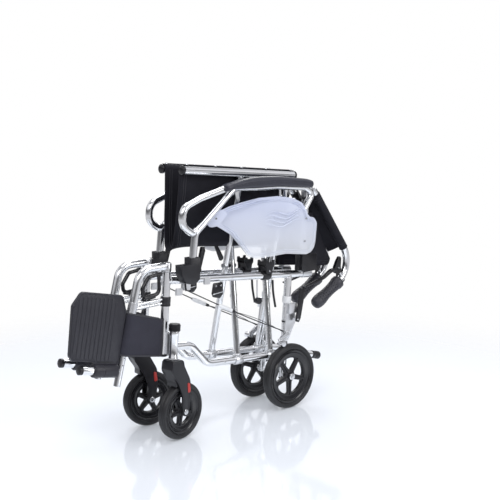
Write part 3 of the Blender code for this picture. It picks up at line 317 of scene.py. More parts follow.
class Shape:
    """A piece made of several closed forms, each with its own material."""

    def __init__(self):
        self.bm = bmesh.new()
        self.looks = []

    def take(self, part, look, place=None):
        """Add a finished form. Its place is a matrix, or a centre and the direction of its axis."""
        if look not in self.looks:
            self.looks.append(look)
        if isinstance(place, tuple):
            place = axle_place(*place)
        if place is not None:
            bmesh.ops.transform(part, matrix=place, verts=part.verts)
        bmesh.ops.recalc_face_normals(part, faces=part.faces)
        for face in part.faces:
            face.material_index = self.looks.index(look)
        mesh = bpy.data.meshes.new("form")
        part.to_mesh(mesh)
        part.free()
        self.bm.from_mesh(mesh)
        bpy.data.meshes.remove(mesh)

    def tube(self, points, radius, look, bend=0.0, steps=8, sides=24, closed=False):
        """A round bar or tube along a line. The radius may be one for each point."""
        path = rounded(points, bend, steps) if bend else [Vector(p) for p in points]
        count = len(path)
        radii = [radius] * count if isinstance(radius, float) else list(radius)
        part = bmesh.new()
        tangent = (path[1] - path[0]).normalized()
        normal = tangent.orthogonal().normalized()
        rings = []
        for i, point in enumerate(path):
            if closed:
                ahead = (path[(i + 1) % count] - path[i - 1]).normalized()
            else:
                ahead = (path[min(i + 1, count - 1)] - path[max(i - 1, 0)]).normalized()
            normal = tangent.rotation_difference(ahead) @ normal
            tangent = ahead
            other = tangent.cross(normal)
            ring = []
            for j in range(sides):
                turn = 2 * pi * j / sides
                ring.append(part.verts.new(point + radii[i] * (cos(turn) * normal + sin(turn) * other)))
            rings.append(ring)
        skin(part, rings, closed)
        self.take(part, look)
        return self

    def turn(self, profile, place, look, steps=40, closed=False):
        """A turned form about its own Z axis, from (radius, height) points."""
        part = bmesh.new()
        rings = []
        for radius, height in profile:
            if radius < 1e-6:
                rings.append([part.verts.new((0, 0, height))])
                continue
            rings.append([part.verts.new((x, y, height)) for x, y in circle(radius, steps)])
        pairs = list(zip(rings, rings[1:])) + ([(rings[-1], rings[0])] if closed else [])
        for first, second in pairs:
            for j in range(steps):
                k = (j + 1) % steps
                corners = [first[j % len(first)], first[k % len(first)], second[k % len(second)],
                           second[j % len(second)]]
                corners = list(dict.fromkeys(corners))
                if len(corners) > 2:
                    part.faces.new(corners)
        if not closed:
            for ring in (rings[0], rings[-1]):
                if len(ring) > 1:
                    part.faces.new(ring)
        self.take(part, look, place)
        return self

    def prism(self, outline, thickness, place, look, bevel=0.0008, segments=2):
        """A flat outline in the XY plane, thickened about the plane, with soft edges."""
        part = bmesh.new()
        low = [part.verts.new((x, y, -thickness / 2)) for x, y in outline]
        high = [part.verts.new((x, y, thickness / 2)) for x, y in outline]
        part.faces.new(list(reversed(low)))
        part.faces.new(high)
        count = len(outline)
        for i in range(count):
            j = (i + 1) % count
            part.faces.new((low[i], low[j], high[j], high[i]))
        rims = [e for e in part.edges if abs(e.verts[0].co.z - e.verts[1].co.z) < 1e-9]
        if bevel:
            bmesh.ops.bevel(part, geom=rims, offset=bevel, segments=segments, affect='EDGES', profile=0.6)
        self.take(part, look, place)
        return self

    def box(self, centre, axes, size, look, bevel=0.0008):
        """A block about a centre, with its edges along three axes and softened."""
        part = bmesh.new()
        bmesh.ops.create_cube(part, size=1, matrix=Matrix.Diagonal((*size, 1)))
        bmesh.ops.bevel(part, geom=list(part.edges), offset=bevel, segments=2, affect='EDGES')
        turn = Matrix([Vector(axis) for axis in axes]).transposed().to_4x4()
        self.take(part, look, Matrix.Translation(Vector(centre)) @ turn)
        return self

    def windowed(self, outlines, thickness, place, look, bevel=0.0012):
        """A flat plate with holes: the first outline is its edge."""
        curve = bpy.data.curves.new("guide", 'CURVE')
        curve.dimensions = '2D'
        curve.fill_mode = 'BOTH'
        curve.extrude = thickness / 2 - bevel
        curve.bevel_depth = bevel
        curve.bevel_resolution = 2
        curve.offset = -bevel
        for outline in outlines:
            spline = curve.splines.new('POLY')
            spline.points.add(len(outline) - 1)
            for point, (x, y) in zip(spline.points, outline):
                point.co = (x, y, 0, 1)
            spline.use_cyclic_u = True
        guide = placed("guide", curve)
        graph = bpy.context.evaluated_depsgraph_get()
        mesh = bpy.data.meshes.new_from_object(guide.evaluated_get(graph))
        part = bmesh.new()
        part.from_mesh(mesh)
        bmesh.ops.remove_doubles(part, verts=part.verts, dist=0.00001)
        bpy.data.objects.remove(guide, do_unlink=True)
        bpy.data.meshes.remove(mesh)
        self.take(part, look, place)
        return self

    def screw(self, point, direction, radius, look):
        """A domed screw head with a hexagon in it."""
        place = axle_place(point, direction)
        self.turn([(0, -0.0005), (radius, -0.0005), (radius, radius * 0.25), (radius * 0.8, radius * 0.55),
                   (radius * 0.45, radius * 0.62)], place, look, 20)
        self.prism(circle(radius * 0.42, 6), 0.0004, lifted(place, radius * 0.62), "black", 0)
        return self

    def done(self, name, body, nodes=(), slot=None, angle=38):
        """Make the object, let it ride on its body and stand for its nodes."""
        mesh = bpy.data.meshes.new(name)
        self.bm.to_mesh(mesh)
        self.bm.free()
        for look in self.looks:
            mesh.materials.append(LOOKS[look])
        mesh.shade_smooth()
        mesh.set_sharp_from_angle(angle=radians(angle))
        obj = placed(name, mesh)
        if body:
            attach(obj, body)
        if nodes:
            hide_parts(*nodes)
        return obj


def fed(tree, owner, sockets):
    """Set a node's inputs, each to a value or to another node's output."""
    for key, value in sockets.items():
        if isinstance(value, bpy.types.NodeSocket):
            tree.links.new(value, owner.inputs[key])
        else:
            owner.inputs[key].default_value = value
    return owner


def add_node(tree, kind, sockets=None, **settings):
    """A new shader node with its settings and inputs."""
    made = tree.nodes.new("ShaderNode" + kind)
    for key, value in settings.items():
        setattr(made, key, value)
    return fed(tree, made, sockets or {})


def shader_of(name, colour, roughness, metallic=0.0, coat=0.0, sheen=0.0, specular=0.5):
    """A Principled material, with its tree and its shader."""
    made = bpy.data.materials.new(name)
    made.use_nodes = True
    tree = made.node_tree
    shader = fed(tree, tree.nodes["Principled BSDF"], {"Base Color": (*colour, 1), "Roughness": roughness,
                                                       "Metallic": metallic, "Coat Weight": coat,
                                                       "Sheen Weight": sheen,
                                                       "Specular IOR Level": specular})
    return made, tree, shader


def own_place(tree):
    """A point's place in the object's own metres."""
    return add_node(tree, "TexCoord").outputs["Object"]


def texture(tree, kind, scale, detail=2.0, output="Fac"):
    """A noise or cell texture in the object's own metres."""
    made = add_node(tree, "Tex" + kind, {"Scale": scale, "Detail": detail, "Vector": own_place(tree)})
    return made.outputs[output]


def spread(tree, value, low, high):
    """A value from 0 to 1 taken to another range."""
    return add_node(tree, "MapRange", {"To Min": low, "To Max": high, "Value": value}).outputs["Result"]


def share_of(tree, value, start, end, **settings):
    """How far a value is from a start to an end, from 0 to 1."""
    made = add_node(tree, "MapRange", {"From Min": start, "From Max": end, "Value": value}, **settings)
    return made.outputs["Result"]


def mixed(tree, share, first, second):
    """A colour between two, by a share."""
    made = add_node(tree, "Mix", {"A": (*first, 1), "B": (*second, 1), "Factor": share}, data_type='RGBA')
    return made.outputs["Result"]


def raised(tree, shader, value, strength, distance=0.0002):
    """A bump from a value."""
    bump = add_node(tree, "Bump", {"Strength": strength, "Distance": distance, "Height": value})
    fed(tree, shader, {"Normal": bump.outputs["Normal"]})


def metal(name, colour, rough_low, rough_high):
    """Polished tube: fine scratches and cloudy handling marks."""
    made, tree, shader = shader_of(name, colour, rough_low, 1.0)
    marks = texture(tree, "Noise", 55.0, 4.0)
    dark = tuple(c * 0.93 for c in colour)
    fed(tree, shader, {"Roughness": spread(tree, marks, rough_low, rough_high),
                       "Base Color": mixed(tree, texture(tree, "Noise", 14.0), dark, colour)})
    raised(tree, shader, texture(tree, "Noise", 900.0), 0.08)
    return made


def moulded(name, colour, roughness, grain=1400.0, depth=0.25, coat=0.0, specular=0.42):
    """Moulded plastic or rubber with a fine grain and slightly worn patches."""
    made, tree, shader = shader_of(name, colour, roughness, coat=coat, specular=specular)
    wear = texture(tree, "Noise", 38.0, 5.0)
    pale = tuple(min(1.0, c * 1.35 + 0.004) for c in colour)
    fed(tree, shader, {"Base Color": mixed(tree, wear, colour, pale),
                       "Roughness": spread(tree, wear, roughness * 0.85, min(1.0, roughness * 1.15))})
    raised(tree, shader, texture(tree, "Voronoi", grain, output="Distance"), depth)
    return made


def woven(name, colour, thread, sheen):
    """Plain-weave nylon: two sets of threads, with soft patches where it has been handled."""
    made, tree, shader = shader_of(name, colour, 0.72, sheen=sheen, specular=0.16)
    threads = [add_node(tree, "TexWave", {"Scale": 0.314 / thread, "Distortion": 0.6, "Detail": 1.0,
                                          "Vector": own_place(tree)}, bands_direction=axis).outputs["Fac"]
               for axis in ('Y', 'Z')]
    both = add_node(tree, "Math", {0: threads[0], 1: threads[1]}, operation='MAXIMUM')
    pale = tuple(c * 1.7 for c in colour)
    fed(tree, shader, {"Sheen Roughness": 0.5,
                       "Base Color": mixed(tree, texture(tree, "Noise", 22.0, 4.0), colour, pale)})
    raised(tree, shader, both.outputs[0], 0.35, 0.0004)
    return made


def frosted(name):
    """Translucent side panel, bluish at the top, paler and clearer toward its foot."""
    made, tree, shader = shader_of(name, (0.72, 0.77, 0.9), 0.32, coat=0.2)
    split = add_node(tree, "SeparateXYZ", {"Vector": own_place(tree)})
    height = share_of(tree, split.outputs["Z"], 0.49, 0.63)
    fed(tree, shader, {"Base Color": mixed(tree, height, (0.9, 0.93, 0.99), (0.7, 0.75, 0.92)),
                       "Alpha": spread(tree, height, 0.5, 0.8)})
    raised(tree, shader, texture(tree, "Noise", 700.0), 0.12)
    return made


LOOKS = {"metal": metal("polished_aluminium", (0.86, 0.87, 0.885), 0.1, 0.2),
         "satin": metal("satin_aluminium", (0.74, 0.75, 0.77), 0.28, 0.38),
         "steel": metal("plated_steel", (0.66, 0.67, 0.69), 0.16, 0.28),
         "dark_steel": metal("shaded_steel", (0.3, 0.31, 0.33), 0.28, 0.4),
         "black": moulded("black_plastic", (0.009, 0.009, 0.012), 0.36),
         "gloss": moulded("glossy_black_plastic", (0.005, 0.005, 0.007), 0.22, 600.0, 0.08, 0.0, 0.5),
         "rubber": moulded("tyre_rubber", (0.012, 0.012, 0.014), 0.4, 900.0, 0.3),
         "grip": moulded("grip_rubber", (0.03, 0.03, 0.038), 0.42, 1100.0, 0.3),
         "foam": moulded("skin_foam", (0.024, 0.025, 0.037), 0.36, 1800.0, 0.18, 0.1),
         "red": moulded("red_plastic", (0.42, 0.035, 0.03), 0.35, 800.0, 0.1),
         "white": moulded("pale_plastic", (0.72, 0.73, 0.75), 0.4, 800.0, 0.1),
         "nylon": woven("black_nylon", (0.01, 0.01, 0.014), 0.0011, 0.03),
         "webbing": woven("black_webbing", (0.009, 0.009, 0.013), 0.0016, 0.05),
         "mesh": woven("strap_cloth", (0.026, 0.026, 0.036), 0.0018, 0.1),
         "plate": moulded("footplate_plastic", (0.018, 0.018, 0.025), 0.4, 1200.0, 0.25),
         # Near-black and matt: painted shade for the holes in the push grips.
         "dot": moulded("grip_hole_shade", (0.0015, 0.0015, 0.002), 0.8, 800.0, 0.1, 0.0, 0.1),
         "thread": moulded("sewing_thread", (0.035, 0.035, 0.042), 0.7, 2600.0, 0.5),
         "panel": frosted("frosted_panel")}


def cap(shape, point, direction, radius, length, look="black"):
    """A domed plug over the end of a tube. The point is the tube's end."""
    shape.turn([(radius, -length), (radius + 0.0006, -length + 0.0008), (radius + 0.0006, -0.0004),
                (radius * 0.86, 0.0016), (radius * 0.5, 0.0026), (0, 0.0029)], (point, direction), look, 28)


def weld(shape, point, direction, radius):
    """A rippled bead of weld round a tube where it meets another."""
    place = axle_place(point, direction)
    ring = [place @ Vector((x, y, 0.0004 * cos(pi * i))) for i, (x, y) in enumerate(circle(radius, 30))]
    shape.tube(ring, [0.0013 + 0.0003 * (i % 2) for i in range(30)], "satin", sides=8, closed=True)


def side_frame(k, sd):
    """Welded tubes, castor housing and axle boss of one side."""
    x = sd * RAIL_X
    s = Shape()
    rail_end = framed(x, RAIL_END_S, RAIL_RISE)
    s.tube([framed(x, FRONT_POST_S, RAIL_RISE), rail_end], FRAME_R, "metal")
    s.turn([(FRAME_R, -0.038), (0.0133, -0.0375), (0.0135, -0.036), (0.0135, -0.002), (0.0125, 0),
            (0, 0.0004)], (rail_end, ALONG), "satin")
    s.tube([framed(x, REAR_POST_S + 0.003, 0), framed(x, KINK_REAR_S, 0), framed(x, KINK_FRONT_S, KINK_H),
            framed(x, FRONT_POST_S - 0.002, KINK_H)], FRAME_R, "metal", BEND_R, 10)
    s.tube([framed(x, FRONT_POST_S, POST_LOW_H), framed(x, FRONT_POST_S, POST_TOP_H)], POST_R, "metal")
    cap(s, framed(x, FRONT_POST_S, POST_LOW_H), -SQUARE, POST_R, 0.006)
    axle = at(x, 0, REAR_R)
    s.tube([axle - SQUARE * 0.014, framed(x, REAR_POST_S, RAIL_RISE)], POST_R, "metal")
    cap(s, axle - SQUARE * 0.014, -SQUARE, POST_R, 0.004)
    s.turn([(0.0105, 0), (0.0105, REAR_X - RAIL_X - REAR_WIDTH / 2 - 0.0025),
            (0.009, REAR_X - RAIL_X - REAR_WIDTH / 2 - 0.0012)], (axle, (sd, 0, 0)), "satin")
    tip_end = at(x, TIP_TUBE_REACH, TIP_TUBE_Z)
    tip_bend = at(x, 0.07, 0.155)
    s.tube([framed(x, REAR_POST_S - 0.003, -0.0005), tip_bend, tip_end], FRAME_R - 0.0002, "metal", BEND_R,
           10)
    out = (tip_end - tip_bend).normalized()
    s.turn([(0.012, -0.034), (0.0124, -0.0325), (0.0124, -0.026), (0.0119, -0.025), (0.0119, -0.019),
            (0.0124, -0.018), (0.0124, -0.002), (0.0112, 0.0), (0.006, 0.0006), (0, 0.0006)],
           (tip_end, out), "black")
    hx = sd * CASTOR_X
    top = framed(hx, CASTOR_S, HOUSING_TOP_H)
    low = framed(hx, CASTOR_S, HOUSING_LOW_H)
    height = (top - low).length
    s.turn([(HOUSING_R - 0.001, 0), (HOUSING_R, 0.001), (HOUSING_R, 0.006), (HOUSING_R - 0.0012, 0.008),
            (HOUSING_R - 0.0012, height - 0.014), (HOUSING_R, height - 0.012), (HOUSING_R, height - 0.002),
            (HOUSING_R - 0.001, height)], (low, SQUARE), "metal")
    ribs = [(0.015, -0.001)]
    for i in range(5):
        ribs += [(0.0162, 0.0002 + 0.0034 * i), (0.0162, 0.0022 + 0.0034 * i), (0.015, 0.0028 + 0.0034 * i)]
    ribs += [(0.0156, 0.0172), (0.014, 0.019), (0.006, 0.0198), (0, 0.0198)]
    s.turn(ribs, (top, SQUARE), "black")
    middle = framed((x + hx) / 2, CASTOR_S - 0.004, (HOUSING_LOW_H + HOUSING_TOP_H) / 2)
    s.box(middle, RAILS, (CASTOR_X - RAIL_X, 0.009, WEB_HEIGHT), "satin", 0.0012)
    for h in (0.5, -0.5):
        s.tube([framed(x, CASTOR_S - 0.004, WEB_H + h * WEB_HEIGHT),
                framed(hx, CASTOR_S - 0.004, WEB_H + h * WEB_HEIGHT)], 0.003, "satin", sides=12)
    front_seam = FRONT_POST_S + POST_R * 0.9
    for spot in ((front_seam, KINK_H), (front_seam, RAIL_RISE), (REAR_POST_S - POST_R * 0.9, 0)):
        weld(s, framed(x, *spot), ALONG, FRAME_R + 0.0004)
    weld(s, framed(x, REAR_POST_S, RAIL_RISE - FRAME_R * 0.9), SQUARE, POST_R + 0.0004)
    s.turn(mirrored([(POST_R + 0.0002, -0.01), (0.0134, -0.0098), (0.0138, -0.008)]),
           (framed(x, REAR_POST_S, 0.168), SQUARE), "white")
    s.turn(mirrored([(POST_R + 0.0002, -0.006), (0.0132, -0.0055)]), (framed(x, REAR_POST_S, 0.05), SQUARE),
           "satin")
    for place in (-0.23, -0.1):
        s.screw(framed(x + sd * FRAME_R, place, RAIL_RISE), (sd, 0, 0), 0.0026, "steel")
    s.done("tube_frame_" + k, k + "_frame", ["side_frame_" + k], "anodised_aluminium")


def windows(count, inner, outer, half):
    """Outlines of the openings between a wheel's spokes."""
    holes = []
    for index in range(count):
        start = 2 * pi * index / count
        end = 2 * pi * (index + 1) / count
        middle = (start + end) / 2
        lean = asin(half * 1.25 / inner)
        out = asin(half / outer)
        bulge = outer * 1.015
        points = [(inner, start + lean), (outer, start + out), (bulge, (start + out + middle) / 2),
                  (bulge, middle), (bulge, (middle + end - out) / 2), (outer, end - out),
                  (inner, end - lean)]
        flat = [(r * cos(a), r * sin(a)) for r, a in points]
        small = outer * 0.09
        holes.append(rounded_loop(flat, [small, small, 0.03, 0.03, 0.03, small, small], 4))
    return holes


def wheel(kind, k, centre, outward, radius, width, tread_lines):
    """Tyre with its tread, and a moulded rim with five windows."""
    body = k + "_" + kind + "_wheel"
    place = axle_place(centre, outward)
    half = width / 2
    middle = radius - TYRE_DEPTH / 2
    profile = []
    for i in range(TYRE_FACETS):
        a = 2 * pi * i / TYRE_FACETS
        h = half * squarish(cos(a), 0.88)
        r = middle + TYRE_DEPTH / 2 * squarish(sin(a), 0.84)
        if sin(a) > 0 and any(abs(abs(h) - line * half) < 0.0009 for line in tread_lines):
            r -= 0.0011
        if sin(a) < 0.25 and abs(h) > half * 0.9:
            h *= 0.985
        profile.append((r, h))
    tyre = Shape().turn(profile, place, "rubber", WHEEL_STEPS, True)
    for face in (1, -1):
        tyre.turn([(radius - 0.0122, face * (half - 0.0012)), (radius - 0.0118, face * (half + 0.0002)),
                   (radius - 0.0106, face * (half + 0.0002)), (radius - 0.0102, face * (half - 0.0012))],
                  place, "rubber", WHEEL_STEPS, True)
    tyre.done(kind + "_tread_" + k, body, [kind + "_tyre_" + k], "dark_rubber", 30)
    rim = Shape()
    plate_outer = radius - TYRE_DEPTH + 0.0002
    hub_r = 0.0185 if kind == "rear" else 0.015
    window = 0.056 if kind == "rear" else 0.0385
    outlines = [circle(plate_outer - 0.0015)] + windows(SPOKES, hub_r * 1.08, window, 0.0066)
    rim.windowed(outlines, 0.01, place, "black")
    steps = [(plate_outer, 0.6), (plate_outer + 0.0012, 0.8), (plate_outer - 0.002, 0.84),
             (plate_outer - 0.0052, 0.62), (plate_outer - 0.0075, 0.6), (plate_outer - 0.009, 0.74),
             (plate_outer - 0.012, 0.74), (window + 0.007, 0.5), (window + 0.0035, 0.5),
             (window + 0.0018, 0.4)]
    lip = [(r, half * h) for r, h in steps] + [(r, -half * h) for r, h in reversed(steps)]
    rim.turn(lip, place, "gloss", WHEEL_STEPS, True)
    for index in range(SPOKES):
        turn = place @ Matrix.Rotation(2 * pi * index / SPOKES, 4, 'Z')
        for face in (1, -1):
            start = turn @ Vector((hub_r * 0.8, 0, face * 0.0058))
            end = turn @ Vector((window + 0.003, 0, face * 0.0055))
            rim.tube([start, (start + end) / 2, end], [0.0034, 0.0028, 0.0034], "black", sides=10)
    hub_half = half - 0.0008
    hub = [(0.0046, hub_half), (0.0118, hub_half), (0.0128, hub_half - 0.001), (0.0132, half * 0.5),
           (hub_r, 0.0052), (hub_r + 0.001, 0), (hub_r, -0.0052), (0.0132, -half * 0.5),
           (0.0128, -hub_half + 0.001), (0.0118, -hub_half), (0.0046, -hub_half)]
    rim.turn(hub, place, "black", 48, True)
    rim.turn([(0.0046, hub_half + 0.0002), (0.0086, hub_half + 0.0002), (0.0086, hub_half - 0.001),
              (0.0046, hub_half - 0.001)], place, "steel", 36, True)
    rim.done(kind + "_hub_" + k, body, [kind + "_rim_" + k], "black_plastic")


def rear_wheel(k, sd):
    """Rear wheel, its tyre and the bolt that it turns on."""
    centre = at(sd * REAR_X, 0, REAR_R)
    wheel("rear", k, centre, (sd, 0, 0), REAR_R, REAR_WIDTH, (0.0, 0.34, 0.66))
    s = Shape()
    half = REAR_WIDTH / 2
    place = axle_place(centre, (sd, 0, 0))
    s.turn([(0, -half - 0.0008), (0.004, -half - 0.0008), (0.004, half - 0.0004), (0.0104, half - 0.0004),
            (0.0106, half + 0.0014), (0.009, half + 0.002), (0, half + 0.002)], place, "steel")
    s.prism(circle(0.0066, 6), 0.0036, lifted(place, half + 0.003), "steel", 0.0005)
    s.turn([(0.0034, half + 0.0045), (0.0034, half + 0.0058), (0, half + 0.0062)], place, "steel", 20)
    s.done("axle_bolt_" + k, k + "_frame", ["rear_axle_" + k], "anodised_aluminium")


def castor_axes(k, sd):
    """Stem, turn, drop and wheel centre of a castor at rest."""
    stem = framed(sd * CASTOR_X, CASTOR_S, HOUSING_LOW_H)
    drop = (stem.z - CASTOR_R - CASTOR_TRAIL * sin(TILT)) / cos(TILT)
    turn = Matrix.Translation(stem) @ Matrix.Rotation(CASTOR_TURN[k], 4, SQUARE) @ Matrix.Translation(-stem)
    centre = turn @ (stem + ALONG * CASTOR_TRAIL - SQUARE * drop)
    return stem, turn, drop, centre


def castor(k, sd):
    """Castor wheel and its fork, turned a little from straight."""
    stem, turn, drop, centre = castor_axes(k, sd)
    outward = turn.to_3x3() @ Vector((sd, 0, 0))
    wheel("castor", k, centre, outward, CASTOR_R, CASTOR_WIDTH, (0.0, 0.45))
    inner = CASTOR_WIDTH / 2 + FORK_CLEARANCE
    outer = inner + FORK_LEG
    reach = CASTOR_TRAIL
    place = turn @ Matrix.Translation(stem) @ RAIL_PLANE
    top = -0.0008
    leg = [(-CROWN_R, top), (CROWN_R, top), (CROWN_R + 0.006, -0.02), (reach + 0.012, -0.06),
           (reach + 0.017, -drop + 0.052), (reach + 0.013, -drop + 0.01), (reach + 0.0075, -drop - 0.0125),
           (reach - 0.0075, -drop - 0.0125), (reach - 0.0125, -drop + 0.006),
           (reach - 0.015, -drop + 0.046), (0.006, -0.068), (-CROWN_R - 0.003, -0.03)]
    radii = [0.006, 0.006, 0.03, 0.05, 0.05, 0.02, 0.0125, 0.0125, 0.02, 0.05, 0.04, 0.02]
    smooth = rounded_loop(leg, radii, 5)
    s = Shape()
    for face in (1, -1):
        s.prism(smooth, FORK_LEG, lifted(place, face * (inner + FORK_LEG / 2)), "black", 0.003, 4)
    arch_r = CASTOR_R + 0.0035
    arc = [(reach + arch_r * cos(radians(a)), -drop + arch_r * sin(radians(a))) for a in range(84, 121, 6)]
    arch = [(-CROWN_R, top), (CROWN_R, top), (CROWN_R + 0.005, -0.02), (reach + 0.004, -0.05), *arc,
            (-0.002, -0.06), (-CROWN_R - 0.003, -0.026)]
    s.prism(rounded_loop(arch, 0.006, 4), 2 * inner + 0.002, place, "black", 0.0006)
    s.turn([(CROWN_R - 0.001, -0.01), (CROWN_R + 0.0006, -0.007), (CROWN_R - 0.002, -0.002), (0.015, 0),
            (0.0062, 0.0002), (0.006, 0.044), (0, 0.045)],
           turn @ axle_place(stem - SQUARE * 0.0006, SQUARE), "black")
    insert = rounded_loop([(0.04, -0.066), (0.05, -0.07), (0.0545, -0.094), (0.0445, -0.097)], 0.0034, 4)
    for face in (1, -1):
        s.prism(insert, 0.0016, lifted(place, face * (outer + 0.0003)), "red", 0.0005)
        ridge = [place @ Vector((x, y, face * (outer - 0.0002))) for x, y in inset(smooth, 0.004)]
        s.tube(ridge, 0.0007, "black", sides=8, closed=True)
        bolt = axle_place(centre + outward * (face * outer), outward * face)
        s.turn([(0.0078, 0), (0.0078, 0.0016), (0.0066, 0.0024), (0, 0.0024)], bolt, "steel", 28)
        s.prism(circle(0.005, 6), 0.002, lifted(bolt, 0.0032), "steel", 0.0004)
    s.turn([(0.0038, -outer), (0.0038, outer)], (centre, outward), "steel", 20)
    s.done("fork_" + k, k + "_castor", ["castor_fork_" + k], "black_plastic")


def brace(letter, sd):
    """A seat tube, its two bars and their sleeves on the other side's lower rail."""
    top_x = sd * RAIL_X
    low_x = -sd * RAIL_X
    s = Shape()
    front = framed(top_x, SEAT_FRONT_S, SEAT_TUBE_H)
    rear = framed(top_x, SEAT_REAR_S, SEAT_TUBE_H)
    s.tube([front, rear], SEAT_TUBE_R, "metal", sides=32)
    cap(s, front, -ALONG, SEAT_TUBE_R, 0.007, "gloss")
    cap(s, rear, ALONG, SEAT_TUBE_R, 0.007, "gloss")
    for bar_s in BAR_S[letter]:
        foot = framed(low_x, bar_s, 0)
        head = framed(top_x, bar_s, SEAT_TUBE_H)
        run = (head - foot).normalized()
        s.tube([foot + run * 0.012, head - run * 0.01], BAR_R, "metal")
        weld(s, foot + run * (SLEEVE_R + 0.001), run, BAR_R + 0.0004)
        weld(s, head - run * (SEAT_TUBE_R + 0.0008), run, BAR_R + 0.0004)
        bore = FRAME_R + 0.0007
        half = SLEEVE_LENGTH / 2
        s.turn(mirrored([(bore, half), (SLEEVE_R - 0.0006, half), (SLEEVE_R, half - 0.0008)]),
               (foot, ALONG), "satin", 36, True)
        for end in (1, -1):
            s.turn([(bore - 0.0003, half - 0.001), (bore + 0.0014, half - 0.001),
                    (bore + 0.0014, half + 0.001), (bore - 0.0003, half + 0.001)], (foot, ALONG * end),
                   "satin", 36, True)
        if letter == "a":
            other = BAR_S["b"][BAR_S["a"].index(bar_s)]
            toward = 1 if bar_s > other else -1
            mid = framed(0, bar_s, SEAT_TUBE_H / 2)
            far = framed(0, other, SEAT_TUBE_H / 2)
            s.tube([mid, far], 0.003, "steel", sides=16)
            for point, way in ((mid, ALONG * toward), (far, -ALONG * toward)):
                s.turn([(0.006, BAR_R + 0.0002), (0.006, BAR_R + 0.003), (0.0046, BAR_R + 0.0042),
                        (0, BAR_R + 0.0045)], (point, way), "dark_steel", 24)
            s.turn([(0.0062, -0.0012), (0.0062, 0.0012)], ((mid + far) / 2, ALONG), "black", 24)
    s.done("brace_" + letter + "_tubes", "brace_" + letter, ["brace_" + letter], "anodised_aluminium")


def extension_line(distance):
    """A point down the leg support's slanted tube, measured from its bend."""
    top = Vector((-0.524, 0.482))
    foot = Vector((-0.606, 0.175))
    return top + (foot - top).normalized() * distance


def plate_axes():
    """Directions along the footplate's hinge and up its plate, in (y, z)."""
    pitch = Vector((cos(PLATE_PITCH), -sin(PLATE_PITCH)))
    rise = Vector((sin(PLATE_PITCH), cos(PLATE_PITCH)))
    return pitch, rise


def on_plate(points, origin=Vector(PLATE_HINGE)):
    """Points measured along the footplate's hinge and up its plate, as (y, z)."""
    pitch, rise = plate_axes()
    return [tuple(origin + pitch * a + rise * b) for a, b in points]


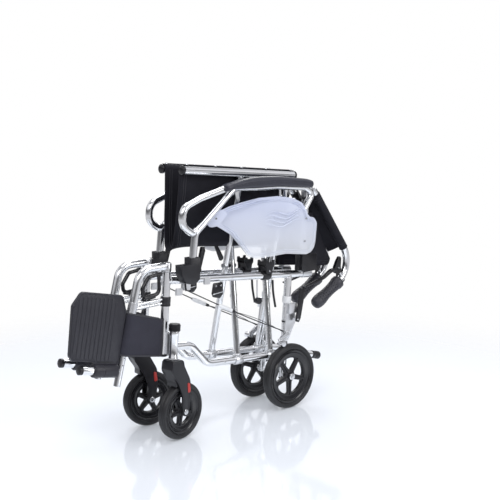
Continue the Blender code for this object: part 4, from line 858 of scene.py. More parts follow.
def leg_support(k, sd):
    """Swing-away leg tube with its extension, and its release lever."""
    x = sd * RAIL_X
    s = Shape()
    head = framed(x, FRONT_POST_S, HANGER_HEAD_H)
    s.tube([head, at(x, *extension_line(0)), at(x, *extension_line(SOCKET_END))], HANGER_R, "metal", 0.045,
           10)
    low = framed(x, FRONT_POST_S, POST_TOP_H + 0.0006)
    length = HANGER_HEAD_H + 0.0105 - POST_TOP_H - 0.0006
    s.turn([(0.0112, 0), (0.0124, 0.0012), (0.0124, length - 0.006), (0.0108, length - 0.002),
            (0.006, length), (0, length)], (low, SQUARE), "satin")
    sleeve = axle_place(framed(x, FRONT_POST_S, 0.177), SQUARE)
    inner = POST_R + 0.0006
    s.turn([(inner, 0), (0.0136, 0), (0.0142, 0.0008), (0.0142, 0.007), (0.0136, 0.0078), (0.0136, 0.009),
            (0.0142, 0.0098), (0.0142, 0.0247), (0.0136, 0.0255), (inner, 0.0255)], sleeve, "black", 40,
           True)
    for rise_h, reach in ((0.196, 0.095), (0.185, 0.106)):
        s.tube([framed(x, FRONT_POST_S - 0.01, rise_h), at(x, *extension_line(reach))], 0.0046, "metal",
               sides=16)
    down = Vector((0, *(extension_line(1) - extension_line(0)))).normalized()
    clamp = (at(x, *extension_line(0.096)), down)
    s.turn([(HANGER_R - 0.0004, -0.009), (0.0128, -0.0085), (0.0128, 0.0205), (HANGER_R - 0.0004, 0.021)],
           clamp, "satin")
    s.box(at(x, -0.462, 0.4784), UPRIGHT, (0.009, 0.012, 0.016), "satin", 0.001)
    pitch = plate_axes()[0]
    hinge = Vector(PLATE_HINGE)
    s.turn([(HANGER_R, -0.006), (0.0122, -0.0052), (0.0122, 0.0), (0.0112, 0.0022), (EXTENSION_R, 0.0026)],
           (at(x, *extension_line(SOCKET_END)), down), "black")
    s.tube([at(x, *extension_line(0.18)), at(x, *extension_line(EXTENSION_END))], EXTENSION_R, "metal")
    s.turn([(EXTENSION_R - 0.0018, 0.0002), (EXTENSION_R - 0.0022, 0.0004), (0, 0.0004)],
           (at(x, *extension_line(EXTENSION_END)), down), "dark_steel", 24)
    for reach in (0.215, 0.235, 0.255):
        s.turn([(0.0016, 0), (0.0016, 0.0004), (0, 0.0004)],
               (at(x + sd * (EXTENSION_R - 0.0001), *extension_line(reach)), (sd, 0, 0)), "black", 14)
    end = KNUCKLE_FRONT + 0.0004
    knob = (at(x, *(hinge - pitch * end)), Vector((0, *-pitch)))
    s.tube([at(x, *(hinge + pitch * (KNUCKLE_REAR + 0.01))), at(x, *(hinge - pitch * (end + 0.01)))],
           STUB_R, "metal")
    cap(s, at(x, *(hinge + pitch * (KNUCKLE_REAR + 0.011))), Vector((0, *pitch)), STUB_R, 0.004)
    s.turn([(0.0105, 0), (0.0125, 0.001), (0.0125, 0.0305), (0.0118, 0.032), (0.0118, 0.0405),
            (0.0105, 0.0415), (0, 0.0418)], knob, "metal")
    s.turn([(0.0121, 0.0322), (0.0121, 0.0407), (0.0108, 0.0417), (0, 0.0419)], knob, "black")
    s.done("leg_tube_" + k, k + "_hanger", ["hanger_" + k], "anodised_aluminium")
    latch = Shape()
    ring = [(-0.462, 0.465), (-0.462, 0.4105), (-0.515, 0.4065), (-0.5175, 0.431), (-0.496, 0.46)]
    loop = [at(x, *p) for p in rounded_loop(ring, [0.01, 0.016, 0.014, 0.012, 0.014], 5)]
    latch.tube(loop, 0.0054, "gloss", sides=16, closed=True)
    grip = [at(x, *p) for p in ((-0.478, 0.4065), (-0.496, 0.4045), (-0.513, 0.4075))]
    latch.tube(grip, [0.0062, 0.0072, 0.006], "gloss", sides=16)
    latch.turn(mirrored([(0, -0.0075), (0.0052, -0.0075), (0.006, -0.0066)]),
               (at(x, -0.462, 0.464), (0, 1, 0)), "gloss", 24)
    latch.box(at(x, -0.461, 0.44), UPRIGHT, (0.0098, 0.006, 0.033), "steel", 0.0008)
    latch.screw(at(x + sd * 0.0049, -0.461, 0.446), (sd, 0, 0), 0.002, "steel")
    latch.done("latch_ring_" + k, k + "_hanger_latch", ["hanger_latch_" + k], "black_plastic")


def footplate(k, sd):
    """Ribbed plate on its knuckle, folded up beside the leg tube."""
    x = sd * RAIL_X
    pitch, rise = plate_axes()
    hinge = Vector(PLATE_HINGE)
    reach, height = PLATE_LIMITS[k]
    flat = [(max(a, -reach), min(b, height)) for a, b in PLATE_EDGE]
    outline = on_plate(flat)
    radii = [0.012, 0.008, 0.006, 0.002, 0.002, 0.006, 0.02, 0.012, 0.012, 0.012]
    soft = rounded_loop(outline, radii, 5)
    s = Shape()
    s.prism(soft, PLATE_T - 0.0024, side_plane(x), "plate", 0.0012, 3)
    for face in (1, -1):
        rim = inset(soft, 0.0026)
        s.tube([at(x + face * (PLATE_T / 2 - 0.0016), *p) for p in rim], 0.0022, "plate", sides=12,
               closed=True)
    outer = PLATE_T / 2
    strips = 9
    left_edge = -min(reach, 0.1175) + 0.014
    pitch_gap = (-0.005 - left_edge) / (strips - 1)
    half_strip = pitch_gap / 2 - 0.0008
    for i in range(strips):
        a = left_edge + pitch_gap * i
        low = 0.03 if a < -0.03 else 0.026
        top = min(height, 0.2) - 0.01
        if left_edge + 0.01 > a:
            low = 0.044
        centre = hinge + pitch * a + rise * (low + top) / 2
        tall = (top - low) / 2
        strip = rounded_loop(mirrored([(-half_strip, -tall), (half_strip, -tall)]),
                             min(0.002, half_strip * 0.8), 4)
        s.prism(on_plate(strip, centre), 0.0018, side_plane(x + sd * (outer - 0.0013)), "plate", 0.0005)
    band = rounded_loop([(0.002, 0.026), (0.033, 0.026), (0.0335, min(0.15, height - 0.02)),
                         (0.002, min(0.185, height - 0.012))], 0.003, 4)
    s.prism(on_plate(band), 0.0016, side_plane(x + sd * (outer - 0.0014)), "plate", 0.0006)
    groove = rounded_loop([(-0.03, 0.0215), (0.016, 0.0215), (0.016, 0.024), (-0.03, 0.024)], 0.0011, 3)
    s.prism(on_plate(groove), 0.001, side_plane(x + sd * (outer - 0.0004)), "black", 0.0002)
    ribs = on_plate([(-reach * 0.7, 0.06), (0.02, 0.06)])
    s.tube([at(x - sd * (outer - 0.0012), *p) for p in ribs], 0.0022, "plate", sides=10)
    start = at(x, *(hinge - pitch * KNUCKLE_FRONT))
    run = KNUCKLE_FRONT + KNUCKLE_REAR
    bore = STUB_R + 0.0006
    s.turn([(bore, 0), (KNUCKLE_R - 0.003, 0), (KNUCKLE_R - 0.0008, 0.0014), (KNUCKLE_R, 0.004),
            (KNUCKLE_R, 0.026), (KNUCKLE_R - 0.001, 0.027), (KNUCKLE_R - 0.001, 0.029), (KNUCKLE_R, 0.03),
            (KNUCKLE_R, run - 0.004), (KNUCKLE_R - 0.0008, run - 0.0014), (KNUCKLE_R - 0.003, run),
            (bore, run)], (start, Vector((0, *pitch))), "plate", 44, True)
    s.done("foot_tread_" + k, k + "_footplate", ["footplate_" + k], "dark_plastic", 30)


def calf_strap(k, sd):
    """Padded band: out of the front of the slanted tube and back on both of its sides."""
    x = sd * RAIL_X
    top = extension_line(0.118)
    foot = extension_line(0.228)
    axis = (foot - top).normalized()
    rear = Vector((-axis[1], axis[0]))
    rear = rear if rear[0] > 0 else -rear
    rear_top = Vector((-0.4585, 0.34))
    rear_foot = Vector((-0.4652, 0.24))
    half = 0.0142
    wrap = 0.0128
    rows = 14
    section = [("side", 1 - i / 11, 1) for i in range(12)]
    section += [("turn", pi * i / 12, 0) for i in range(1, 12)]
    section += [("side", i / 11, -1) for i in range(12)]
    grid = []
    for kind, value, face in section:
        line = []
        for j in range(rows + 1):
            v = j / rows
            front = top.lerp(foot, v)
            back = rear_top.lerp(rear_foot, v)
            swell = 0.0016 * sin(pi * v) + 0.0004 * sin(9 * v + 2)
            if kind == "side":
                p = front.lerp(back, value)
                out = face * (half + swell - 0.006 * value * value)
            else:
                p = front - rear * (wrap * sin(value))
                out = (half + swell) * cos(value)
            line.append(Vector((x + out, AXLE_Y + p[0], p[1])))
        grid.append(line)
    band = cloth("calf_band_" + k, grid, STRAP_T, "mesh", k + "_hanger", "calf_strap_" + k, 40)
    edge = Shape()
    for j in (0, rows):
        edge.tube([line[j] for line in grid], 0.0026, "thread", sides=10)
    for i in (0, len(grid) - 1):
        edge.tube(grid[i], 0.0026, "thread", sides=10)
    piping = edge.done("calf_piping_" + k, k + "_hanger", (), "black_nylon")


def smooth(thing, angle):
    """Smooth shading except over sharp edges."""
    mesh = thing.data
    mesh.shade_smooth()
    bm = bmesh.new()
    bm.from_mesh(mesh)
    for edge in bm.edges:
        if len(edge.link_faces) == 2:
            edge.smooth = edge.calc_face_angle(0) < radians(angle)
    bm.to_mesh(mesh)
    bm.free()


def armrest(k, sd):
    """Loop of tube with its brace, panel and pad."""
    x = sd * ARM_X
    s = Shape()
    s.tube([at(x, *p) for p in ARM_LOOP], ARM_R, "metal", 0.035, 10)
    s.tube([at(x, *p) for p in ARM_BRACE], ARM_R, "metal", 0.03, 10)
    s.turn([(ARM_R, -0.004), (ARM_R + 0.0012, -0.003), (ARM_R + 0.0012, 0.004), (ARM_R, 0.005)],
           (at(x, -0.37, 0.496), Vector((0, 0.118, 0.993))), "black")
    eye = axle_place(at(x, *ARM_PIVOT), (1, 0, 0))
    s.turn(mirrored([(0.004, -0.0088), (0.0095, -0.0088), (ARM_R, -0.0075)]), eye, "satin", 32, True)
    post = Vector((0, *(Vector(ARM_BRACE[1]) - Vector(ARM_BRACE[0])))).normalized()
    weld(s, at(x, -0.359, 0.5774), Vector((0, 0.1, -0.05)), ARM_R - 0.0006)
    weld(s, at(x, -0.233, 0.6765), Vector((0, 0.137, 0.113)), ARM_R)
    cap(s, at(x, *ARM_BRACE[0]), -post, ARM_R - 0.0012, 0.004)
    inner = x - sd * (ARM_R + 0.0004)
    for y, z in ((-0.027, 0.654), (0.029, 0.64)):
        s.turn([(0.0036, -0.006), (0.0036, 0.002), (0.0022, 0.003), (0, 0.0032)],
               (at(inner, y, z), (sd, 0, 0)), "steel", 20)
    s.box(at(x - sd * 0.008, -0.202, 0.662), (ACROSS, Vector((0, 0.97, 0.24)), Vector((0, -0.24, 0.97))),
          (0.004, 0.013, 0.03), "satin", 0.0008)
    s.box(at(x - sd * 0.008, -0.035, 0.665), UPRIGHT, (0.004, 0.0085, 0.026), "satin", 0.0008)
    s.done("arm_tube_" + k, k + "_armrest", ["armrest_frame_" + k], "anodised_aluminium")
    side_panel(k, sd, inner)
    arm_pad(k, sd)


def side_panel(k, sd, inner):
    """Frosted sheet with a raised border and four moulded waves, bent outward at its rear."""
    x = inner - sd * PANEL_T / 2
    outline = rounded_loop(PANEL_OUTLINE, 0.016, 5)
    ears = rounded_loop([(-0.318, 0.606), (-0.266, 0.632), (-0.254, 0.616), (-0.28, 0.584), (-0.304, 0.58)],
                        0.01, 5)
    s = Shape()
    s.prism(outline, PANEL_T, side_plane(x), "panel", 0.001, 3)
    s.prism(ears, PANEL_T + 0.0012, side_plane(x), "panel", 0.0008, 2)
    for step, width in ((0.0075, 0.0011), (0.0125, 0.0008)):
        for face in (1, -1):
            border = inset(outline, step)
            s.tube([at(x + face * (PANEL_T / 2 - 0.0002), *p) for p in border], width, "panel", sides=8,
                   closed=True)
    for drop in range(4):
        wave = []
        for i in range(25):
            t = i / 24
            y = -0.118 + 0.148 * t
            z = 0.604 - 0.011 * drop + 0.0075 * sin(2.4 * pi * t + 0.5 * drop) + 0.006 * t
            wave.append(at(x + sd * (PANEL_T / 2 - 0.0002), y, z))
        s.tube(wave, [0.0002 + 0.0011 * sin(pi * i / 24) for i in range(25)], "panel", sides=8)
    for y, z in ((0.048, 0.583), (0.042, 0.515), (-0.287, 0.605)):
        s.screw(at(x + sd * PANEL_T / 2, y, z), (sd, 0, 0), 0.0034, "steel")
    guard = s.done("side_guard_" + k, k + "_armrest", ["side_panel_" + k], "frosted_panel")
    for corner in guard.data.vertices:
        share = min(1, max(0, (corner.co.y + 0.11) / 0.12))
        corner.co.x += sd * (2 * ARM_R + PANEL_T + 0.007) * share * share * (3 - 2 * share)


def pad_half(t):
    """Half of the pad's width at a share of its length, with rounded ends."""
    return PAD_WIDTH / 2 * (1 - abs(2 * t - 1) ** 22) ** 0.5


def arm_pad(k, sd):
    """Foam pad: a rounded section that swells in the middle, on a thin base."""
    x = sd * PAD_X
    low = curve_through([(0, *p) for p in PAD_LOW], PAD_STEPS + 1)
    high = curve_through([(0, *p) for p in PAD_TOP], PAD_STEPS + 1)
    sections = []
    part = bmesh.new()
    count = 40
    for i in range(PAD_STEPS + 1):
        t = i / PAD_STEPS
        half = pad_half(t) * (0.94 + 0.06 * sin(pi * t))
        half = max(half, 0.0008)
        bottom = low[i].z
        height = max(high[i].z - bottom, 0.0012)
        ring = []
        for j in range(count):
            a = 2 * pi * j / count
            c, h = cos(a), sin(a)
            u = squarish(c, 0.62) * half
            v = squarish(h, 0.8)
            z = bottom + height * (0.5 + 0.5 * v)
            if h < 0:
                u *= 0.97
            if abs(h) < 0.12:
                u *= 0.985
            ring.append(part.verts.new((x + u, AXLE_Y + (low[i].y + high[i].y) / 2, z)))
        sections.append(ring)
    skin(part, sections)
    s = Shape()
    s.take(part, "foam")
    for side in (-1, 1):
        seam = []
        for i in range(3, PAD_STEPS - 2):
            t = i / PAD_STEPS
            half = pad_half(t) * 0.985
            z = low[i].z + (high[i].z - low[i].z) * 0.5
            seam.append(Vector((x + side * half, AXLE_Y + (low[i].y + high[i].y) / 2, z)))
        s.tube(seam, 0.0007, "foam", sides=8)
    made = s.done("arm_cushion_" + k, k + "_armrest", ["armrest_pad_" + k], "dark_foam", 60)


def cane_axes():
    """Start, direction and outward normal of the folded upper cane, in (y, z)."""
    fall = Vector((cos(CANE_FALL), -sin(CANE_FALL)))
    normal = Vector((sin(CANE_FALL), cos(CANE_FALL)))
    start = Vector(HINGE) + normal * HINGE_OFFSET
    return start, fall, normal


def back_tubes(k, sd):
    """Lower back post, and the folded upper cane with its grip and lever."""
    x = sd * RAIL_X
    start, fall, normal = cane_axes()
    post = Shape()
    top = framed(x, BACK_S, HINGE[1] - LOWER_RAIL_Z - 0.022)
    post.tube([framed(x, BACK_S, POST_FOOT_H), top], CANE_R, "metal", sides=32)
    post.turn([(CANE_R, 0), (0.0136, 0.0006), (0.0136, 0.02), (0.0128, 0.0215), (CANE_R, 0.0216)],
              (framed(x, BACK_S, POST_FOOT_H), SQUARE), "satin")
    for h in (0.29, 0.312):
        post.screw(framed(x + sd * (CANE_R - 0.0002), BACK_S, h), (sd, 0, 0), 0.0026, "steel")
    post_y = top.y - AXLE_Y
    cheek = [(post_y - 0.009, HINGE[1] - 0.034), (post_y + 0.009, HINGE[1] - 0.034),
             (HINGE[0] + 0.008, HINGE[1] - 0.004), (HINGE[0] + 0.006, HINGE[1] + 0.007),
             (HINGE[0] - 0.006, HINGE[1] + 0.007), (post_y - 0.009, HINGE[1] - 0.006)]
    soft = rounded_loop(cheek, 0.006, 4)
    for offset in (-0.0085, 0.0085):
        post.prism(soft, 0.0035, side_plane(x + offset), "satin", 0.0006)
    post.turn(mirrored([(0, -0.0122), (0.004, -0.0122), (0.0048, -0.0112), (0.0048, -0.0103),
                        (0.0029, -0.0102)]), (at(x, *HINGE), (1, 0, 0)), "steel", 28)
    post.turn([(CANE_R - 0.0006, -0.006), (0.0128, -0.005), (0.0128, 0.0), (0.01, 0.0016), (0, 0.0018)],
              (top, SQUARE), "black")
    post.done("back_tube_" + k, k + "_frame", ["back_post_" + k], "anodised_aluminium")
    cane = Shape()
    far = start + fall * (CANE_LENGTH + HANDLE_R)
    aim = Matrix.Rotation(-HANDLE_TURN, 2) @ fall
    handle = far + aim * (0.084 + GRIP_LENGTH)
    cane.tube([at(x, *(start + fall * 0.016)), at(x, *far), at(x, *handle)], CANE_R, "metal", HANDLE_R, 14,
              32)
    lever = start + fall * 0.03
    knuckle = [(HINGE[0] - 0.006, HINGE[1] - 0.002), (HINGE[0] - 0.002, HINGE[1] - 0.007),
               (HINGE[0] + 0.007, HINGE[1] - 0.004), tuple(lever - normal * 0.008),
               tuple(lever + normal * 0.008), tuple(start + fall * 0.012 + normal * 0.004),
               (HINGE[0] - 0.002, HINGE[1] + 0.007)]
    cane.prism(rounded_loop(knuckle, 0.004, 3), 0.0126, side_plane(x), "satin", 0.0008)
    cane.done("cane_tube_" + k, k + "_cane", ["back_cane_" + k], "anodised_aluminium")
    hand_grip(k, x, handle, aim)
    hand_lever(k, x, aim)


def above_grip(aim):
    """Direction square to the grip, on its upper side, in (y, z)."""
    up = Vector((-aim[1], aim[0]))
    return up if up[1] > 0 else -up


def girth(t):
    """Radius of the grip: full at its root, slim at 0.38 of its length, full again toward its end."""
    return 0.0174 + 0.0036 * min(1.0, abs(t - 0.38) / 0.36) ** 2


def hand_grip(k, x, handle, aim):
    """Soft grip with rings of small near-black bumps as painted shade in its holes, and the clamp of the
    hand brake.
    """
    root = handle - aim * (GRIP_LENGTH - 0.004)
    length = GRIP_LENGTH + 0.002
    place = axle_place(at(x, *root), Vector((0, *aim)))
    s = Shape()
    profile = [(0.0118, -0.006), (0.02, -0.006), (0.0214, -0.0048), (0.0218, 0.006), (0.0208, 0.0105)]
    for i in range(GRIP_RINGS):
        z = 0.016 + i * RING_PITCH
        r = girth(z / length)
        profile += [(r - 0.0004, z), (r, z + 0.0024), (r, z + 0.005), (r - 0.0004, z + 0.0074)]
    profile += [(0.0208, length - 0.012), (0.02, length - 0.006), (0.018, length + 0.0005),
                (0.0145, length + 0.0045), (0.01, length + 0.007), (0.005, length + 0.0082),
                (0, length + 0.0085)]
    s.turn(profile, place, "grip", 44)
    # Painted shade: each near-black bump stands for the shade inside one of the grip's holes.
    for ring in range(GRIP_RINGS):
        z = 0.0197 + RING_PITCH * ring
        for j in range(GRIP_BUMPS):
            a = 2 * pi * (j + 0.5 * (ring % 2)) / GRIP_BUMPS
            r = girth((z - 0.0037) / length)
            out = Vector((cos(a), sin(a), 0))
            dot = place @ Matrix.Translation(out * (r - 0.0002) + Vector((0, 0, z))) @ turn_to(out)
            s.turn([(0.0019, 0), (0.0015, 0.0005), (0, 0.0006)], dot, "dot", 8)
    up = above_grip(aim)
    centre = root - aim * 0.005
    clamp = axle_place(at(x, *centre), Vector((0, *aim)))
    s.turn(mirrored([(0.013, 0.0055), (0.0165, 0.005), (0.0168, 0.004)]), clamp, "gloss", 40, True)
    for y, z, r, look in ((0.2519, 0.385, 0.0058, "steel"), (0.2629, 0.3651, 0.0096, "gloss")):
        s.turn(mirrored([(0, -0.0095), (r * 0.55, -0.0092), (r * 0.9, -0.0068), (r, -0.003)]),
               (at(x, y, z), (1, 0, 0)), look, 28)
    s.tube([at(x, *(centre + up * 0.012)), at(x, 0.2629, 0.3651)], 0.005, "gloss", sides=14)
    pivot = Vector(BRAKE_PIVOT)
    ear = [centre - aim * 0.005 + up * 0.014, centre + aim * 0.005 + up * 0.014,
           pivot + aim * 0.005 + up * 0.001, pivot - aim * 0.005 + up * 0.004,
           pivot - aim * 0.007 - up * 0.004]
    s.prism([tuple(p) for p in ear], 0.004, side_plane(x), "gloss", 0.0005)
    s.turn(mirrored([(0, -0.0068), (0.003, -0.0068), (0.0034, -0.0061), (0.0024, -0.006)]),
           (at(x, *pivot), (1, 0, 0)), "steel", 20)
    s.done("hand_grip_" + k, k + "_cane", ["push_grip_" + k], "dark_rubber", 30)


def hand_lever(k, x, aim):
    """Attendant's brake lever: a curved blade, forked round the clamp's ear."""
    up = above_grip(aim)
    pivot = Vector(BRAKE_PIVOT)
    spine = [(0.2465, 0.4), (0.213, 0.399), (0.176, 0.38), (0.14, 0.371), (0.094, 0.362)]
    thick = (0.0055, 0.006, 0.0045, 0.004, 0.003)
    line = curve_through([(0, *p) for p in spine], LEVER_STEPS + 1)
    widths = curve_through([(0, t, 0) for t in thick], LEVER_STEPS + 1)
    s = Shape()
    for face in (1, -1):
        part = bmesh.new()
        rings = []
        for i in range(LEVER_STEPS + 1):
            p = line[i]
            w = widths[i].y
            t = i / LEVER_STEPS
            inner = 0.0024 if t < 0.16 else 0.0
            outer = 0.006
            mid = x + face * (inner + outer) / 2
            half = (outer - inner) / 2 + (0.0001 if inner == 0 else 0)
            ring = []
            for j in range(16):
                a = 2 * pi * j / 16
                c, h = cos(a), sin(a)
                du = squarish(c, 0.6) * half
                dv = squarish(h, 0.8) * w
                ring.append(part.verts.new((mid + du, AXLE_Y + p.y + up[0] * dv, p.z + up[1] * dv)))
            rings.append(ring)
        skin(part, rings)
        s.take(part, "gloss")
    edge = [Vector((x, AXLE_Y + p.y - up[0] * w.y * 0.98, p.z - up[1] * w.y * 0.98))
            for p, w in zip(line[7:31], widths[7:31])]
    s.tube(edge, 0.0013, "steel", sides=10)
    blade = [(0.2469, 0.444), (0.2549, 0.439), (0.2529, 0.4061), (0.259, 0.393), (0.252, 0.386),
             (0.239, 0.386), (0.227, 0.39), (0.2265, 0.4084), (0.2359, 0.4271)]
    s.prism(rounded_loop(blade, 0.005, 4), 0.011, side_plane(x), "gloss", 0.0022, 3)
    for face in (1, -1):
        s.screw(at(x + face * 0.0056, 0.244, 0.406), (face, 0, 0), 0.0032, "steel")
    for face in (-1, 1):
        s.turn([(0, face * 0.0072), (0.0062, face * 0.0072), (0.0066, face * 0.0064),
                (0.0066, face * 0.0028)], (at(x, *pivot), (1, 0, 0)), "gloss", 24)
    s.done("brake_blade_" + k, k + "_brake_lever", ["brake_lever_" + k], "black_plastic")


def cloth(name, grid, thickness, look, body, node, angle=70):
    """A sheet from rows of points, thickened about its middle, that stands for one CAD piece."""
    mesh = bpy.data.meshes.new(name)
    rows = len(grid)
    cols = len(grid[0])
    faces = []
    for i in range(rows - 1):
        for j in range(cols - 1):
            a = i * cols + j
            faces.append((a, a + 1, a + cols + 1, a + cols))
    mesh.from_pydata([p for line in grid for p in line], [], faces)
    made = placed(name, mesh)
    mesh.materials.append(LOOKS[look])
    thick = made.modifiers.new("thick", 'SOLIDIFY')
    thick.thickness = thickness
    thick.offset = 0
    smooth(made, angle)
    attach(made, body)
    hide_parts(node)
    return made


def seat_cloth(k, sd):
    """Half of the folded seat: from over its tube down to the fold in the middle of the chair."""
    letter = "b" if sd > 0 else "a"
    x = sd * RAIL_X
    rows = 56
    cols = 60
    wrap = radians(12)
    outer_r = SEAT_TUBE_R + 0.0016
    straight = 0.84
    grid = []
    for i in range(rows + 1):
        t = i / rows
        s = CLOTH_FRONT_S + CLOTH_LENGTH * t
        line = []
        for j in range(15):
            a = wrap - (wrap + pi / 2) * j / 14
            line.append(framed(x + sd * outer_r * sin(a), s, SEAT_TUBE_H + outer_r * cos(a)))
        for j in range(1, cols + 1):
            v = j / cols
            if v < straight:
                drop = (SEAT_DROP - FOLD_R) * v / straight
                inner = (RAIL_X - outer_r - FOLD_R) * (v / straight) ** 1.4
            else:
                bend = (v - straight) / (1 - straight) * pi / 2
                drop = SEAT_DROP - FOLD_R + FOLD_R * sin(bend)
                inner = RAIL_X - outer_r - FOLD_R * cos(bend) - 0.0012 * sin(bend)
            path = x - sd * (outer_r + inner)
            ripple = 0.0026 * sin(pi * v) * sin(5.2 * t * pi + 1.3 * sd + 2.0 * v)
            fine = 0.0012 * noise.noise(Vector((t * 5.0 + sd, v * 4.0, 3.1))) * sin(pi * v)
            sag = 0.003 * sin(pi * t) * v * v + 0.012 * v * exp(-t * 14)
            line.append(framed(path + (ripple + fine) * sd,
                               s + 0.0016 * noise.noise(Vector((v * 3, t, sd))) * v,
                               SEAT_TUBE_H - drop - sag))
        grid.append(line)
    made = cloth("seat_cloth_" + k, grid, CLOTH_T, "nylon", k + "_sling", "seat_sling_" + k)
    trim = Shape()
    for row in (0, 2, 3, rows - 3, rows - 2, rows):
        edge = grid[row]
        width = 0.0022 if row in (0, rows) else 0.0006
        look = "webbing" if row in (0, rows) else "thread"
        for side in ((1,) if row in (0, rows) else (1, -1)):
            path = [p + Vector((side * sd * (0.0 if row in (0, rows) else 0.001), 0, 0)) for p in edge[14:]]
            trim.tube(path, width, look, sides=8)
    if sd > 0:
        clasp = [(-0.236, 0.523), (-0.226, 0.525), (-0.199, 0.479), (-0.204, 0.471), (-0.213, 0.47)]
        trim.prism(rounded_loop(clasp, 0.004, 4), 0.0036, side_plane(0.003), "gloss", 0.001)
        trim.prism([(-0.233, 0.517), (-0.2245, 0.5215), (-0.2235, 0.5195), (-0.232, 0.515)], 0.0042,
                   side_plane(0.003), "steel", 0.0003)
    seams = trim.done("seat_seams_" + k, k + "_sling", (), "black_nylon")
    strip = Shape()
    for i in range(9):
        t0 = 0.02 + 0.96 * i / 9
        t1 = 0.02 + 0.96 * (i + 1) / 9
        path = [framed(x, CLOTH_FRONT_S + CLOTH_LENGTH * t, SEAT_TUBE_H + outer_r + 0.001)
                for t in (t0, t1)]
        strip.tube(path, 0.0016, "webbing", sides=8)
    for t in (0.03, 0.27, 0.5, 0.73, 0.97):
        strip.screw(framed(x, CLOTH_FRONT_S + CLOTH_LENGTH * t, SEAT_TUBE_H + outer_r + 0.0012), SQUARE,
                    0.0044, "steel")
    strip.done("seat_strip_" + k, "brace_" + letter, (), "black_nylon")


def lower_back(k, sd):
    """Lower back cloth: a sleeve round its post and a leaf folded in behind it."""
    x = sd * RAIL_X
    inward = Vector((-sd, 0, 0))
    outer_r = CANE_R + 0.0014
    lean = acos((RAIL_X - outer_r - 0.0022) / LEAF_REACH)
    sweep = inward * cos(lean) + ALONG * sin(lean)
    start, fall = cane_axes()[:2]
    rows = 46
    grid = []
    for i in range(rows + 1):
        v = i / rows
        h = 0.264 + 0.168 * v
        centre = framed(x, BACK_S, h)
        cane_y = start[0] + (start[1] - centre.z) * fall[0] / -fall[1]
        room = (AXLE_Y + cane_y - centre.y - 0.034) / sin(lean)
        reach = min(LEAF_REACH - 0.014 * exp(-v * 22), room)
        line = []
        for j in range(17):
            a = radians(285 * (1 - j / 16))
            line.append(centre + outer_r * (cos(a) * inward - sin(a) * ALONG))
        for j in range(1, 31):
            w = j / 30
            fold = 0.003 * sin(pi * w) * sin(2.6 * pi * v + 3.0 * w + sd)
            sag = 0.006 * w * w * sin(pi * min(1, 1.2 * v))
            line.append(centre + inward * outer_r + sweep * (reach * w) + inward * fold - SQUARE * sag)
        grid.append(line)
    made = cloth("back_cloth_" + k, grid, CLOTH_T, "nylon", k + "_back_panel", "back_panel_" + k)
    hem = Shape()
    hem.tube([line[-1] for line in grid], 0.0019, "webbing", sides=8)
    hem.tube(grid[0], 0.0017, "webbing", sides=8)
    hem.tube(grid[-1], 0.0015, "webbing", sides=8)
    for row in (2, 4):
        for side in (1, -1):
            hem.tube([p + inward * (side * 0.0009) for p in grid[row][16:]], 0.0004, "thread", sides=6)
    border = hem.done("back_hem_" + k, k + "_back_panel", (), "black_nylon")


def upper_back(k, sd):
    """Upper back cloth: a sleeve over its cane and a leaf down to the fold between the canes."""
    x = sd * RAIL_X
    start, fall, normal = cane_axes()
    up = Vector((0, *normal))
    inward = Vector((-sd * (RAIL_X - 0.0012), 0, 0)) - up * TOP_DROP
    inward.normalize()
    square = Vector((-sd * abs(inward.dot(up)), 0, 0)) + up * abs(inward.x)
    outer_r = CANE_R + 0.0014
    rows = 50
    grid = []
    for i in range(rows + 1):
        t = TOP_START + TOP_LENGTH * i / rows
        centre = at(x, *(start + fall * t))
        reach = (RAIL_X - 0.0012 - outer_r * abs(square.x)) / abs(inward.x)
        line = []
        for j in range(19):
            a = radians(300 * (1 - j / 18))
            line.append(centre + outer_r * (cos(a) * square - sin(a) * inward))
        for j in range(1, 17):
            w = j / 16
            fold = 0.0022 * sin(pi * w) * sin(4.4 * pi * i / rows + 2 * w + sd)
            line.append(centre + square * outer_r + inward * (reach * w) + square * fold
                        - up * 0.004 * sin(pi * i / rows) * w)
        grid.append(line)
    made = cloth("top_cloth_" + k, grid, CLOTH_T, "nylon", k + "_back_top", "back_top_" + k)
    hem = Shape()
    for row in (0, rows):
        hem.tube(grid[row], 0.0016, "webbing", sides=8)
    seam = [line[18] + square * 0.0011 for line in grid]
    hem.tube(seam, 0.0006, "thread", sides=8)
    hem.tube([line[0] for line in grid], 0.0012, "webbing", sides=8)
    for row in (3, 5, rows - 5, rows - 3):
        centre = at(x, *(start + fall * (TOP_START + TOP_LENGTH * row / rows)))
        hem.tube([p + (p - centre).normalized() * 0.001 for p in grid[row][:18]], 0.0004, "thread", sides=6)
    border = hem.done("top_hem_" + k, k + "_back_top", (), "black_nylon")


